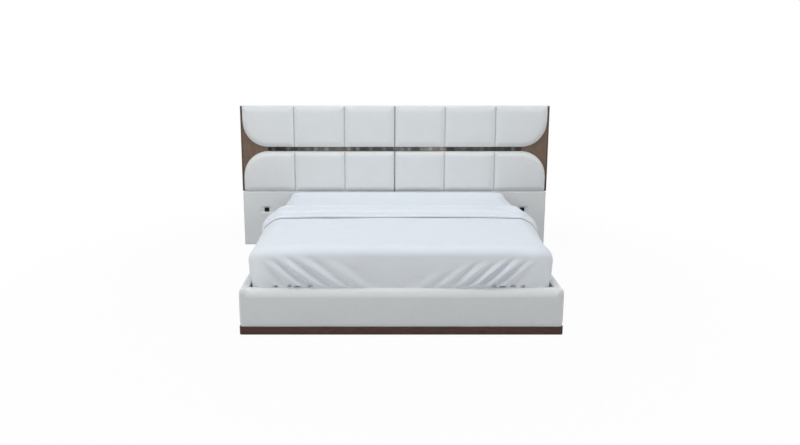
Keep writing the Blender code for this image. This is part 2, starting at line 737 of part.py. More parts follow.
def build_pad(name, side, strip_edge, upward, height, leather, group):
    """One pad with its sewn channels, which starts at the metal strip and runs up or down."""
    bm = bmesh.new()
    back = FACE_FRONT - 2 * FIT_GAP - PAD_BOARD
    middle_a = PAD_LENGTH / 2
    middle_b = height / 2
    front_rows = []
    back_rows = []
    for b in pad_rows(height):
        inner, outer = pad_edge(b, height, PAD_LENGTH)
        front_row = []
        back_row = []
        for a in pad_columns(inner, outer, PAD_LENGTH):
            z = strip_edge + upward * b
            y = back - pad_depth(a, b, PAD_LENGTH, height)
            front_row.append(bm.verts.new((side * (PAD_INNER + a), y, z)))
            draw_a = 1 - PAD_SIDE_DRAW / middle_a
            draw_b = 1 - PAD_SIDE_DRAW / middle_b
            back_a = middle_a + (a - middle_a) * draw_a
            back_b = middle_b + (b - middle_b) * draw_b
            back_row.append((side * (PAD_INNER + back_a), back, strip_edge + upward * back_b))
        front_rows.append(front_row)
        back_rows.append(back_row)
    for here, after in zip(front_rows, front_rows[1:]):
        for i in range(len(here) - 1):
            bm.faces.new((here[i], here[i + 1], after[i + 1], after[i]))
    front_rim = rim(front_rows)
    back_rim = [bm.verts.new(point) for point in rim(back_rows)]
    for i in range(len(front_rim)):
        j = (i + 1) % len(front_rim)
        bm.faces.new((front_rim[i], front_rim[j], back_rim[j], back_rim[i]))
    bm.faces.new(back_rim)
    return place(name, bm, leather, group, smooth=math.radians(60))


def rim(rows):
    """The outermost items of a grid, in order round it."""
    right = [row[-1] for row in rows[1:]]
    far = rows[-1][-2::-1]
    left = [row[0] for row in rows[-2:0:-1]]
    return rows[0] + right + far + left


def build_pad_board(name, side, strip_edge, upward, height, timber, group):
    """The plywood that a pad is upholstered on, set in from the pad's edge."""
    inset = PAD_BOARD_INSET
    length = PAD_LENGTH - inset
    top = height - inset
    radius = PAD_CORNER - inset
    outline = [(inset, inset)]
    for angle in quarter(8):
        outline.append((
            length - radius * (1 - math.sin(angle)),
            inset + radius * (1 - math.cos(angle)),
        ))
    outline.append((length, top))
    outline.append((inset, top))
    back = FACE_FRONT - FIT_GAP
    sections = [
        [(side * (PAD_INNER + a), y, strip_edge + upward * b) for a, b in outline]
        for y in (back - PAD_BOARD, back)
    ]
    loft(name, sections, timber, group)


def build_pads(group, leather, timber, mirror, metal):
    rows = (
        ("upper", UPPER_PAD_BOTTOM, 1, UPPER_PAD_HEIGHT),
        ("lower", LOWER_PAD_TOP, -1, LOWER_PAD_HEIGHT),
    )
    for row, strip_edge, upward, height in rows:
        for word, side in SIDES:
            build_pad(f"pad_{row}_{word}", side, strip_edge, upward, height, leather, group)
            build_pad_board(f"pad_board_{row}_{word}", side, strip_edge, upward, height, timber, group)
        trim_start = STRIP_CENTRE + upward * (STRIP_HEIGHT / 2 + FIT_GAP)
        trim_end = strip_edge + upward * height
        low, high = sorted((trim_start, trim_end))
        block(
            f"centre_trim_{row}",
            (-TRIM_WIDTH / 2, FACE_FRONT - FIT_GAP - TRIM_DEPTH, low),
            (TRIM_WIDTH / 2, FACE_FRONT - FIT_GAP, high),
            metal, group,
        )
    block(
        "mirror_strip",
        (-STRIP_HALF_LENGTH, FACE_FRONT - FIT_GAP - STRIP_DEPTH, STRIP_CENTRE - STRIP_HEIGHT / 2),
        (STRIP_HALF_LENGTH, FACE_FRONT - FIT_GAP, STRIP_CENTRE + STRIP_HEIGHT / 2),
        mirror, group,
    )


# Bolts

def build_bolts(group, steel, head_rail, bolted):
    """Bolts through the head rail and the lower panels into the headboard's posts."""
    hole_radius = BOLT_RADIUS + FIT_GAP
    reach = (
        (-BOLT_HEAD, BOLT_HEAD_RADIUS),
        (0, BOLT_HEAD_RADIUS),
        (0, BOLT_RADIUS),
        (BOLT_LENGTH, BOLT_RADIUS),
    )
    hole = ((-CUT_OVERRUN, hole_radius), (BOLT_LENGTH + BOLT_TIP_PLAY, hole_radius))
    seat = RAIL_END - RAIL_BOARD - FIT_GAP
    for level, height in zip(("low", "high"), BOLT_HEIGHTS):
        for word, side in SIDES:
            start = (side * POST_CENTRE, seat, height)
            name = f"headboard_bolt_{level}_{word}"
            loft(name, cylinder_sections(start, (0, 1, 0), reach), steel, group, math.radians(40))
            holed = [piece for where, piece in bolted if where == side]
            for piece in [head_rail] + holed:
                sections = cylinder_sections(start, (0, 1, 0), hole)
                cut(piece, f"hole_{level}_{word}_{piece.name}", sections, group)


# Mattress and fitted sheet

def mattress_ring(outset, height):
    """Plan outline of the mattress, moved out by a distance, at one height."""
    half = MATTRESS_WIDTH / 2 + outset
    foot = MATTRESS_FOOT - outset
    head = MATTRESS_HEAD + outset
    radius = MATTRESS_CORNER + outset
    centres = (
        (half - radius, head - radius),
        (-half + radius, head - radius),
        (-half + radius, foot + radius),
        (half - radius, foot + radius),
    )
    ring = []
    for i, (x, y) in enumerate(centres):
        for angle in quarter(4):
            turn = angle + math.pi / 2 * i
            ring.append((x + radius * math.cos(turn), y + radius * math.sin(turn), height))
    return ring


def edge_rings(outset, top):
    """Rings of the rounded top edge, from its foot to the flat top."""
    return [
        (outset - MATTRESS_EDGE * (1 - math.cos(angle)), top - MATTRESS_EDGE * (1 - math.sin(angle)))
        for angle in quarter(4)
    ]


def build_mattress(group, ticking, cotton):
    soft_edge = math.radians(60)
    side_middle = (MATTRESS_BOTTOM + MATTRESS_TOP) / 2
    places = [
        (-MATTRESS_BOTTOM_EDGE, MATTRESS_BOTTOM),
        (0, MATTRESS_BOTTOM + MATTRESS_BOTTOM_EDGE),
        (-MATTRESS_SIDE_DRAW, side_middle),
    ]
    places += edge_rings(0, MATTRESS_TOP)
    loft("mattress", [mattress_ring(*level) for level in places], ticking, group, soft_edge)

    hem = MATTRESS_BOTTOM + MATTRESS_BOTTOM_EDGE
    outer_places = [(SHEET_OUT, hem)] + edge_rings(SHEET_OUT, SHEET_TOP)
    inner_places = [(SOFT_GAP, hem)] + edge_rings(SOFT_GAP, MATTRESS_TOP + SOFT_GAP)
    sections = [mattress_ring(*level) for level in outer_places[::-1] + inner_places]
    loft("fitted_sheet", sections, cotton, group, soft_edge)


# Duvet

def fold_row(first, plain, count):
    """Columns of one half of the foot: (distance from the corner at the rail, share of the depth)."""
    last = FOLD_COLUMNS * count
    half = FOLD_COLUMNS / 2
    spacing = (HALF_FOOT - first - plain) / ((last - half) / FOLD_COLUMNS)
    row = []
    for i in range(last + 1):
        turns = (i - half) / FOLD_COLUMNS
        fade = min(i, last - i, half) / half
        row.append((first + spacing * turns, -fade * math.cos(2 * math.pi * turns)))
    return row


def slid(distance, slide):
    """A column's distance from the corner, after it has slid towards it but never past it."""
    def hinge(value):
        return value / 2 + math.hypot(value / 2, FOLD_PINCH)

    return hinge(distance - slide) - hinge(-slide)


def fold_points(row, slide, span):
    """The columns of one half of the foot, as (distance from the middle, share of the depth)."""
    spread = span / HALF_FOOT
    points = []
    for distance, share in row:
        reach = slid(distance, slide)
        points.append((span - spread * reach, share * min(reach / FOLD_CORNER_FADE, 1)))
    return points


def duvet_line(outset, slide, side_rows=3, middle_columns=4, corner_columns=4):
    """Plan line of the duvet, from its head end on the left round the foot to the right.

    Each point is (x, y, share of the folds' depth). The columns follow the folds at the foot.
    """
    half = SHEET_HALF_WIDTH + outset
    foot = SHEET_FOOT - outset
    radius = max(SHEET_CORNER + outset, DUVET_TOP_CORNER)
    span = half - radius
    left = []
    for i in range(side_rows):
        y = DUVET_HEAD + (foot + radius - DUVET_HEAD) * i / side_rows
        left.append((-half, y, 0))
    for angle in quarter(corner_columns)[:-1]:
        left.append((-span - radius * math.cos(angle), foot + radius * (1 - math.sin(angle)), 0))
    right = [(-x, y, share) for x, y, share in reversed(left)]
    left_row = fold_row(LEFT_FOLD_FIRST, LEFT_FOLD_PLAIN, LEFT_FOLD_COUNT)
    right_row = fold_row(RIGHT_FOLD_FIRST, RIGHT_FOLD_PLAIN, RIGHT_FOLD_COUNT)
    left_folds = [(-x, foot, share) for x, share in fold_points(left_row, slide, span)]
    right_folds = [(x, foot, share) for x, share in fold_points(right_row, slide, span)[::-1]]
    start = left_folds[-1][0]
    end = right_folds[0][0]
    middle = [(start + (end - start) * i / middle_columns, foot, 0) for i in range(1, middle_columns)]
    front = [(-span, foot, 0)] + left_folds + middle + right_folds + [(span, foot, 0)]
    return left + front + right


def duvet_profile():
    """Outer side of the duvet, from hem to top: it bulges over the rail and rounds to the top."""
    hem = SOFT_SIDE_GAP + DUVET_HEM_THICKNESS
    full = SOFT_SIDE_GAP + DUVET_SIDE_THICKNESS
    shoulder_foot = DUVET_TOP - DUVET_SHOULDER
    free = RAIL_TOP + DUVET_RAIL_RISE
    bulge_shares = (0, 0.65, 0.95)
    height_shares = (0, 0.25, 0.6)
    profile = [(hem, DUVET_HEM_HEIGHT)]
    for bulge, rise in zip(bulge_shares, height_shares):
        profile.append((hem + (full - hem) * bulge, free + (shoulder_foot - free) * rise))
    for angle in quarter(4):
        inward = DUVET_SHOULDER * (1 - math.cos(angle))
        profile.append((full - inward, shoulder_foot + DUVET_SHOULDER * math.sin(angle)))
    return profile


def duvet_ring(outset, height, folded):
    """One level of the duvet, with its folds where it hangs at the foot."""
    rise = height - RAIL_TOP
    slide = FOLD_LEAN_SHARE * rise if folded else 0
    fade = min((DUVET_TOP - height) / FOLD_START, 1)
    inward = outset - SOFT_SIDE_GAP - DUVET_HEM_THICKNESS + FOLD_DEPTH
    outward = FOLD_DEPTH
    if rise < 2 * DUVET_RAIL_RISE:
        outward = FOOT_CLEARANCE - SHEET_OUT - SOFT_GAP - outset
    ring = []
    for x, y, share in duvet_line(outset, slide):
        if folded:
            y -= min(max(FOLD_DEPTH * fade * share, -inward), outward)
        ring.append((x, y, height))
    return ring


def add_duvet_body(bm):
    """The hanging and lying part of the duvet, hollow over the mattress."""
    outer = []
    for i, (outset, height) in enumerate(duvet_profile()):
        folded = 0 < i and height < DUVET_TOP - MIN_CORNER
        outer.append([bm.verts.new(point) for point in duvet_ring(outset, height, folded)])
    puffed = [bm.verts.new(point) for point in duvet_ring(-PUFF_INSET, DUVET_TOP + DUVET_PUFF, False)]
    outer.append(puffed)
    inner_places = [(SOFT_SIDE_GAP, DUVET_HEM_HEIGHT)]
    inner_places += [
        (outset + SOFT_SIDE_GAP, height + SOFT_GAP)
        for outset, height in edge_rings(0, SHEET_TOP)
    ]
    inner = [[bm.verts.new(point) for point in duvet_ring(*level, False)] for level in inner_places]
    for rows in (outer, inner):
        for here, after in zip(rows, rows[1:]):
            for i in range(len(here) - 1):
                bm.faces.new((here[i], here[i + 1], after[i + 1], after[i]))
        bm.faces.new(rows[-1])
    for i in range(len(outer[0]) - 1):
        bm.faces.new((outer[0][i], outer[0][i + 1], inner[0][i + 1], inner[0][i]))
    left_outer = [row[0] for row in outer]
    right_outer = [row[-1] for row in outer]
    left_inner = [row[0] for row in inner]
    right_inner = [row[-1] for row in inner]
    bm.faces.new(left_outer + right_outer[::-1] + right_inner + left_inner[::-1])


def turn_back_path():
    """Points and outward directions over the duvet, from the left side to the right."""
    lowest = DUVET_TOP - DUVET_SHOULDER - TURN_BACK_HANG
    full = SOFT_SIDE_GAP + DUVET_SIDE_THICKNESS
    half = SHEET_HALF_WIDTH + full
    path = [(half, lowest, 1, 0)]
    for angle in quarter(5):
        across = math.cos(angle)
        up = math.sin(angle)
        x = half - DUVET_SHOULDER * (1 - across)
        z = DUVET_TOP - DUVET_SHOULDER * (1 - up)
        path.append((x, z, across, up))
    path.append((SHEET_HALF_WIDTH - PUFF_INSET, DUVET_TOP + DUVET_PUFF, 0, 1))
    mirrored = [(-x, z, -across, up) for x, z, across, up in path]
    return mirrored + path[::-1]


def turn_back_outline():
    """Section of the turned-back end: (place along the bed, height above the duvet)."""
    low = TURN_BACK_SLIT
    high = TURN_BACK_SLIT + TURN_BACK_THICKNESS
    free_edge = DUVET_HEAD - TURN_BACK_WIDTH
    nose = (high - low) / 2
    sunk = DUVET_TOP_THICKNESS / 2
    middle = (low + high) / 2
    outline = [(DUVET_HEAD - TURN_BACK_OVERHANG, low), (free_edge + nose, low)]
    for share in (0.5, 1, 1.5):
        turn = math.pi / 2 * share
        outline.append((free_edge + nose - nose * math.sin(turn), middle - nose * math.cos(turn)))
    outline.append((free_edge + nose, high))
    outline.append((DUVET_HEAD - TURN_BACK_THICKNESS / 2, high))
    for share in (0.3, 0.6, 1):
        turn = math.pi / 2 * share
        reach = TURN_BACK_THICKNESS / 2 + TURN_BACK_OVERHANG
        outline.append((
            DUVET_HEAD - TURN_BACK_THICKNESS / 2 + reach * math.sin(turn),
            high - (high + sunk) * (1 - math.cos(turn)),
        ))
    outline.append((DUVET_HEAD - TURN_BACK_OVERHANG, -sunk))
    return outline


def build_duvet(group, cotton):
    """The duvet over the foot and sides of the mattress, with its head end turned back."""
    turn_back = bmesh.new()
    outline = turn_back_outline()
    add_loft(turn_back, [
        [(x + lift * across, y, z + lift * up) for y, lift in outline]
        for x, z, across, up in turn_back_path()
    ])
    folded_end = place("duvet_turn_back", turn_back, cotton, group)
    bm = bmesh.new()
    add_duvet_body(bm)
    duvet = place("duvet", bm, cotton, group, smooth=math.radians(60))
    join(duvet, folded_end)


def build():
    for old in list(bpy.data.objects):
        bpy.data.objects.remove(old)
    leather = finish("white_leather", "#D9DDDF", 0.45)
    walnut = finish("walnut_veneer", "#6B5747", 0.5)
    mirror = finish("bronze_mirror", "#6A6564", 0.15, 1.0)
    metal = finish("dark_trim", "#7C7E7E", 0.35, 1.0)
    timber = finish("pine", "#C9A77A", 0.7)
    backing = finish("backing_cloth", "#3A3B3D", 0.9)
    plastic = finish("black_plastic", "#17181A", 0.4)
    steel = finish("zinc_steel", "#A8AAAD", 0.35, 1.0)
    ticking = finish("mattress_ticking", "#EDEDEA", 0.9)
    cotton = finish("white_cotton", "#E6EBF0", 0.85)

    groups = {}
    for name in ("headboard", "bed_frame", "bedding"):
        groups[name] = bpy.data.objects.new(name, None)
        bpy.context.collection.objects.link(groups[name])
    frame = groups["bed_frame"]
    board = groups["headboard"]
    build_rails(frame, leather, timber, walnut)
    head_rail = build_base(frame, timber, steel)
    bolted = build_carcass(board, timber, walnut, leather, backing)
    bolted += build_lower_panels(board, leather, timber, plastic)
    build_pads(board, leather, timber, mirror, metal)
    build_bolts(board, steel, head_rail, bolted)
    build_mattress(groups["bedding"], ticking, cotton)
    build_duvet(groups["bedding"], cotton)


build()
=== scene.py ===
"""Soft pieces, materials, light and camera for the king size bed.

Metres, +Z up. +Y points from the foot to the headboard, and +X to the right, seen from the foot.
"""
from math import copysign, cos, exp, hypot, pi, radians, sin, sqrt

import bmesh
import bpy
import numpy as np
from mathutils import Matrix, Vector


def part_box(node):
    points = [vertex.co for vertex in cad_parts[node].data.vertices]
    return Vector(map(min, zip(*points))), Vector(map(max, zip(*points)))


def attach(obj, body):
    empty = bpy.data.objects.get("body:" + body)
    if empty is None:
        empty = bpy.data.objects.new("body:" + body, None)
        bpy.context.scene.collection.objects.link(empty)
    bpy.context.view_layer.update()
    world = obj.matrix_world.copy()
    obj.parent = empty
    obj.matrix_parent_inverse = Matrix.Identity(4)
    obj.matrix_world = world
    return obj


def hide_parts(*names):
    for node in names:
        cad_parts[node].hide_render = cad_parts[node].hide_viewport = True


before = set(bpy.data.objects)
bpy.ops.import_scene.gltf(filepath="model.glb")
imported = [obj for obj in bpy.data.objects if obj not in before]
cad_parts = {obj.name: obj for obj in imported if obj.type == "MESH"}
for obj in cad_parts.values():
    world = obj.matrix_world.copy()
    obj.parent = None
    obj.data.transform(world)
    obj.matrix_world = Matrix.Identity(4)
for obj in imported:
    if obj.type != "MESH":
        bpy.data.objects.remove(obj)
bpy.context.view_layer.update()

SIDES = (("left", -1), ("right", 1))
QUARTER_TURN = pi / 2

# Upholstered rails
FOOT_ROUNDING = (0.054, 0.060)  # width and height of the rounded top edge
SIDE_ROUNDING = (0.014, 0.032)
SIDE_RAIL_BULGE = 0.008
BULGE_FROM_FOOT = 0.30
BULGE_TO_HEAD = 0.15
BULGE_RISE = 0.10
CORNER_BLEND = 0.040
CORNER_LEAST_RADIUS = 0.001
RAIL_COVER_THICKNESS = 0.055
RAIL_INNER_ROUND = 0.006
RAIL_TUCK = 0.005
RAIL_TUCK_HEIGHT = 0.030
RAIL_BELLY = 0.0012
RAIL_PADDING = 0.0234
RAIL_LINING = 0.003
RAIL_FLANGE = 0.055
RAIL_BOARD_TOP = 0.0297
RAIL_UNEVEN = 0.0005
RAIL_SWELL = 0.30
RAIL_TOP = 0.305
BED_CORNER = 0.018
MITRE_DIP = 0.0014
MITRE_REACH = 0.005
MITRE_PLAY = 0.0004

# Headboard pads
PAD_CORNER = 0.240
PAD_BORDER = 0.046
PAD_BORDER_DROP = 0.011
PAD_BORDER_POWER = 1.15
PAD_EDGE_WIDTH = 0.008
PAD_EDGE_DROP = 0.005
PAD_EDGE_POWER = 2.2
PAD_CURVE_DROP = 0.009
PAD_FOOT_DROP = 0.012
PAD_STRIP_DROP = 0.014
PAD_CROWN = 0.002
PAD_END_PLAY = 0.008
PAD_RIM = ((-0.0004, 0.35), (0.0006, 0.7), (0.004, 1.0))  # (inset, share of the depth) behind the front
PAD_UNEVEN = 0.0004
PAD_SWELL = 0.16
PAD_SECTIONS = 3
SEAM_INSET = 0.008
SEAM_GROOVE = 0.013
SEAM_WIDTH = 0.0045

# Lower panels and their sockets
PANEL_CORNER = 0.018
PANEL_ROUND = 0.014
PANEL_HEM = 0.005
PANEL_PADDING = 0.020
PANEL_RETURN = 0.010
PANEL_UNEVEN = 0.0005
PANEL_SWELL = 0.25
FINE_X = 0.05
FINE_Z = 0.04
DIMPLE_REACH_X = 0.045
DIMPLE_REACH_Z = 0.018
DIMPLE_DEPTH = 0.011
SOCKET_PLAY = 0.0004
# Section of a socket, from its recessed well over the rim to its body: (inset, depth, corner radius)
SOCKET_RINGS = (
    (0.0105, 0.0075, 0.003), (0.0100, 0.0022, 0.003), (0.0092, 0.0006, 0.003), (0.0080, 0.0002, 0.003),
    (0.0012, 0.0000, 0.002), (0.0004, 0.0004, 0.002), (0.0, 0.0012, 0.002), (0.0, 0.0169, 0.002),
    (0.0032, 0.0169, 0.001),
)

# Mattress and sheet
MATTRESS_CORNER = 0.100
MATTRESS_EDGE = 0.055
MATTRESS_FOOT_ROUND = 0.014
MATTRESS_FOOT_BEVEL = 0.004
TAPE_RADIUS = 0.005
TAPE_DEPTH = 0.003
TAPE_HEIGHT = 0.03
QUILT_DEPTH = 0.0015
QUILT_TURN = 14
SHEET_THICKNESS = 0.002
SHEET_BELLY = 0.070
SHEET_BELLY_SHARES = (0.92, 1.25)  # left and right
SHEET_TOP_DRAW = 0.028
SHEET_CROWN = 0.008
SHEET_CREASE = 0.004
SHEET_TOP_RIPPLE = 0.0007
SHEET_SIDE_RIPPLE = 0.0015

# Duvet
SHOULDER_WIDTH = 0.140
SHOULDER_HEIGHT = 0.108
SIDE_FULLNESS = 0.84
HEAD_FULLNESS = 1.3
HEAD_SHOULDER_WIDTH = 0.122
HEAD_WIDEN = 0.071  # how much further out the duvet lies at its head end, above the rails
HEAD_SPREAD = 0.018  # how much more below the shoulder
HEAD_SHIFT = 0.018  # how far it lies to the right there
FOOT_SHOULDER = (0.086, 0.072)  # width and height
FOOT_SHOULDER_TURN = 79.7
FOOT_RISE = 0.013
FOOT_BULGE = 0.022
DUVET_HALF_WIDTH = 1.0066
FLAT_HALF = DUVET_HALF_WIDTH - SHOULDER_WIDTH
DUVET_HEM_DRAW = 0.017
DUVET_TOP = 0.5528
DUVET_HEM = 0.279
DUVET_FOOT = 1.0695
DUVET_PUFF = 0.007
PUFF_BEYOND = 0.05
PUFF_RUN = 0.35
DUVET_THICKNESS = 0.018
DUVET_HEAD_PLAY = 0.012
FACE_STEPS = 38
FOLD_HEIGHT = 0.038
VALLEY_SOFTNESS = 0.40
FOLD_FADE = 0.09
FULL_FOLD_WIDTH = 0.16
# Valleys of the folds: (place at the rail, run for each unit of height, top, depth share).
# The first and the last have no depth: the folds begin and end there.
FOOT_VALLEYS = (
    (-0.93, 0.6, 0.5, 0.0), (-0.708, 1.35, 0.44, 0.75), (-0.571, 1.44, 0.50, 1.0), (-0.435, 1.5, 0.52, 0.9),
    (-0.311, 1.42, 0.52, 0.6), (-0.186, 1.1, 0.48, 0.35), (0.081, 1.05, 0.45, 0.2), (0.199, 1.15, 0.43, 0.4),
    (0.304, 1.15, 0.49, 0.6), (0.398, 1.3, 0.48, 0.8), (0.491, 1.22, 0.51, 1.0), (0.578, 1.35, 0.49, 1.0),
    (0.683, 1.3, 0.40, 0.75), (0.93, 0.6, 0.5, 0.0),
)
SIDE_VALLEYS = (
    (-1.02, 0.6, 0.5, 0.0), (-0.80, 1.2, 0.46, 0.54), (-0.66, 1.1, 0.48, 0.48), (-0.50, 0.9, 0.46, 0.36),
    (-0.33, 0.6, 0.44, 0.27), (-0.14, 0.3, 0.44, 0.18), (0.12, 0.6, 0.5, 0.0),
)
# Where the hem stands clear of the foot rail: (place, half width)
HEM_GAPS = (
    (-0.812, 0.013), (-0.722, 0.009), (-0.673, 0.017), (-0.590, 0.013),
    (0.602, 0.011), (0.655, 0.018), (0.722, 0.016), (0.789, 0.010),
)
HEM_GAP_DEPTH = 0.028
HEM_GAP_TOP = 0.322

# The duvet's turned-back end
BAND_LENGTH = 0.352
BAND_THICKNESS = 0.036
BAND_EDGE = 0.022
BAND_NOSE_STRETCH = 1.3
BAND_RISE = 0.20
BAND_LIFT = 0.002
BAND_FOLD_SAG = 0.021
BAND_LOWEST = 0.333
BAND_SIDE_BULGE = 0.016
BAND_LEAN = 0.0012
BAND_WANDER = 0.004
CREASE_WIDTH_SHARE = 0.038
CREASE_WANDER_SHARE = 0.012
# Creases: (side, where one starts, where it ends, share across at each, depth)
CREASES = (
    (0, 0.0, 1.0, 0.34, 0.34, 0.0130), (0, 0.0, 1.0, 0.80, 0.82, 0.0120),
    (1, 0.50, 1.25, 0.92, 0.16, 0.0150), (1, 0.46, 1.25, 0.95, 0.34, 0.0160),
    (1, 0.52, 1.25, 0.97, 0.52, 0.0160), (1, 0.60, 1.25, 0.98, 0.70, 0.0140),
    (-1, 0.66, 1.25, 0.90, 0.30, 0.0090), (-1, 0.60, 1.25, 0.96, 0.62, 0.0090),
)

# The photograph's camera, worked out from its straight edges
PHOTO_WIDTH = 800
PHOTO_CENTRE = (400, 222.5)
VIEW_CENTRE = (381.2, 177.10)
FOCAL_PIXELS = 619.9
CAMERA_TILT = 9.443
CAMERA_ACROSS = -0.130
CAMERA_DISTANCE = 3.7909
CAMERA_HEIGHT = 1.6661


def linear_channel(value):
    """One sRGB channel, 0 to 255, as a linear value."""
    share = value / 255
    return share / 12.92 if share <= 0.04045 else ((share + 0.055) / 1.055) ** 2.4


def tint(colour):
    """A linear colour from an sRGB hex value."""
    return tuple(linear_channel(int(colour[i:i + 2], 16)) for i in (1, 3, 5)) + (1.0,)


def first_output(source):
    """The first output in use of a node. An output stays as it is."""
    if isinstance(source, bpy.types.Node):
        return next(output for output in source.outputs if output.enabled)
    return source


def add(tree, kind, inputs=(), **settings):
    """Add a node with its settings, and link its inputs to nodes or outputs, or set them.

    Inputs go by name or place. A mix has its share at 0 and its colours at 6 and 7, and a map range has
    its limits at 1 to 4: from low, from high, to low, to high.
    """
    node = tree.nodes.new(f"ShaderNode{kind}")
    for name, value in settings.items():
        setattr(node, name, value)
    for name, value in dict(inputs).items():
        if isinstance(value, (bpy.types.Node, bpy.types.NodeSocket)):
            tree.links.new(first_output(value), node.inputs[name])
        else:
            node.inputs[name].default_value = tint(value) if isinstance(value, str) else value
    return node


def new_material(name, roughness, metallic=0.0, **constants):
    """A Principled material, with what is the same all over it set on the shader itself."""
    material = bpy.data.materials.new(name)
    material.use_nodes = True
    tree = material.node_tree
    shader = tree.nodes["Principled BSDF"]
    shader.inputs["Roughness"].default_value = roughness
    shader.inputs["Metallic"].default_value = metallic
    for socket, value in constants.items():
        shader.inputs[socket.replace("_", " ")].default_value = value
    return material, tree, add(tree, "TexCoord").outputs["Object"]


def finished(material, **sources):
    """Link what varies over a surface to its shader, and give the material back."""
    tree = material.node_tree
    for socket, source in sources.items():
        tree.links.new(first_output(source), tree.nodes["Principled BSDF"].inputs[socket.replace("_", " ")])
    return material


def drawn_out(axis, share):
    """Scale of a pattern that is drawn out along one axis."""
    return [share if i == axis else 1.0 for i in range(3)]


def white_leather():
    """Cowhide with a white pigment finish: even colour, fine pebble with painted shade in its crevices, satin
    sheen.
    """
    material, tree, place = new_material("white_pigmented_leather", 0.46, IOR=1.5)
    pebble_size = 0.0060  # real pebbles are about 1 mm; drawn coarser so that they show
    pebble_depth = 0.0004
    hide_patch = 0.16
    pebble = add(tree, "TexVoronoi", {"Vector": place, "Scale": 1 / pebble_size, "Smoothness": 0.6},
                 feature="SMOOTH_F1")
    patch = add(tree, "TexNoise", {"Vector": place, "Scale": 1 / hide_patch, "Detail": 3.0})
    tone = add(tree, "Mix", {0: patch, 6: "#D5D8D9", 7: "#DBDEDF"}, data_type="RGBA")
    # Painted shade: the crevices between the pebbles go darker, towards #AFB2B4
    pebble_crevice_shade = add(tree, "MapRange", {"Value": pebble, 1: 0.25, 2: 0.75, 3: 0.0, 4: 0.14})
    base = add(tree, "Mix", {0: pebble_crevice_shade, 6: tone, 7: "#AFB2B4"}, data_type="RGBA")
    gloss = add(tree, "MapRange", {"Value": patch, 3: 0.42, 4: 0.52})
    bump = add(tree, "Bump", {"Height": pebble, "Strength": 0.35, "Distance": pebble_depth}, invert=True)
    return finished(material, Base_Color=base, Roughness=gloss, Normal=bump)


def walnut(name, along, light, dark, warm):
    """Walnut veneer with a satin lacquer: dark grain lines that run one way, with slow changes of tone."""
    material, tree, place = new_material(name, 0.42, IOR=1.5)
    grain_width = 0.0035
    figure_width = 0.030
    pore_depth = 0.0002
    stretch = 22
    lined = add(tree, "Mapping", {"Vector": place, "Scale": drawn_out(along, 1 / stretch)})
    figure = add(tree, "TexNoise",
                 {"Vector": lined, "Scale": 1 / figure_width, "Detail": 4.0, "Distortion": 0.6})
    grain = add(tree, "TexNoise",
                {"Vector": lined, "Scale": 1 / grain_width, "Detail": 5.0, "Roughness": 0.65})
    lines = add(tree, "MapRange", {"Value": grain, 1: 0.35, 2: 0.62})
    wood = add(tree, "Mix", {0: lines, 6: dark, 7: light}, data_type="RGBA")
    broad = add(tree, "MapRange", {"Value": figure, 1: 0.48, 2: 0.68, 3: 0.0, 4: 0.6})
    base = add(tree, "Mix", {0: broad, 6: wood, 7: warm}, data_type="RGBA")
    bump = add(tree, "Bump", {"Height": lines, "Strength": 0.2, "Distance": pore_depth})
    return finished(material, Base_Color=base, Normal=bump)


def bronze_mirror():
    """Silvered bronze glass: dark and glossy, with painted reflections as lighter and darker patches and
    light bars along the strip.
    """
    material, tree, place = new_material("bronze_mirror_painted_reflections", 0.14, 1.0)
    patch_length = 0.12
    mottle = 0.022
    along = add(tree, "SeparateXYZ", {0: place})
    patches = add(tree, "TexVoronoi", {"W": along, "Scale": 1 / patch_length}, voronoi_dimensions="1D")
    clouds = add(tree, "TexNoise", {"Vector": place, "Scale": 1 / mottle, "Detail": 4.0})
    # Painted reflections: patches of lighter and darker colour along the strip, and light bars near the
    # middles of some patches
    shade = add(tree, "SeparateColor", {0: patches.outputs["Color"]})
    both = add(tree, "Math", {0: shade, 1: clouds}, operation="MULTIPLY")
    reflection_bars = add(tree, "MapRange", {"Value": patches, 1: 0.10, 2: 0.20, 3: 0.7, 4: 0.0})
    reflection_patches = add(tree, "Math", {0: shade.outputs[1], 1: reflection_bars, 2: both}, operation="MULTIPLY_ADD")
    level = add(tree, "MapRange", {"Value": reflection_patches, 1: 0.02, 2: 0.95})
    base = add(tree, "Mix", {0: level, 6: "#363433", 7: "#857E78"}, data_type="RGBA")
    worn = add(tree, "MapRange", {"Value": clouds, 3: 0.08, 4: 0.24})
    return finished(material, Base_Color=base, Roughness=worn)


def brushed_metal(name, colour, darker, roughness, line_width):
    """Brushed or plated metal: a soft sheen, and upright scratches, drawn coarser so that they show."""
    material, tree, place = new_material(name, roughness, 1.0)
    lined = add(tree, "Mapping", {"Vector": place, "Scale": drawn_out(2, 0.02)})
    scratches = add(tree, "TexNoise", {"Vector": lined, "Scale": 1 / line_width, "Detail": 3.0})
    base = add(tree, "Mix", {0: scratches, 6: darker, 7: colour}, data_type="RGBA")
    gloss = add(tree, "MapRange", {"Value": scratches, 3: roughness - 0.08, 4: roughness + 0.1})
    return finished(material, Base_Color=base, Roughness=gloss)


def black_plastic():
    """Moulded polycarbonate: near black, with a fine spark-eroded texture."""
    material, tree, place = new_material("black_moulded_plastic", 0.60, IOR=1.5, Specular_IOR_Level=0.25)
    grit_size = 0.0012  # real grit is about 0.1 mm; drawn coarser so that it shows
    grit_depth = 0.0001
    grit = add(tree, "TexNoise", {"Vector": place, "Scale": 1 / grit_size, "Detail": 2.0})
    base = add(tree, "Mix", {0: grit, 6: "#08090A", 7: "#121314"}, data_type="RGBA")
    bump = add(tree, "Bump", {"Height": grit, "Strength": 0.2, "Distance": grit_depth})
    return finished(material, Base_Color=base, Normal=bump)


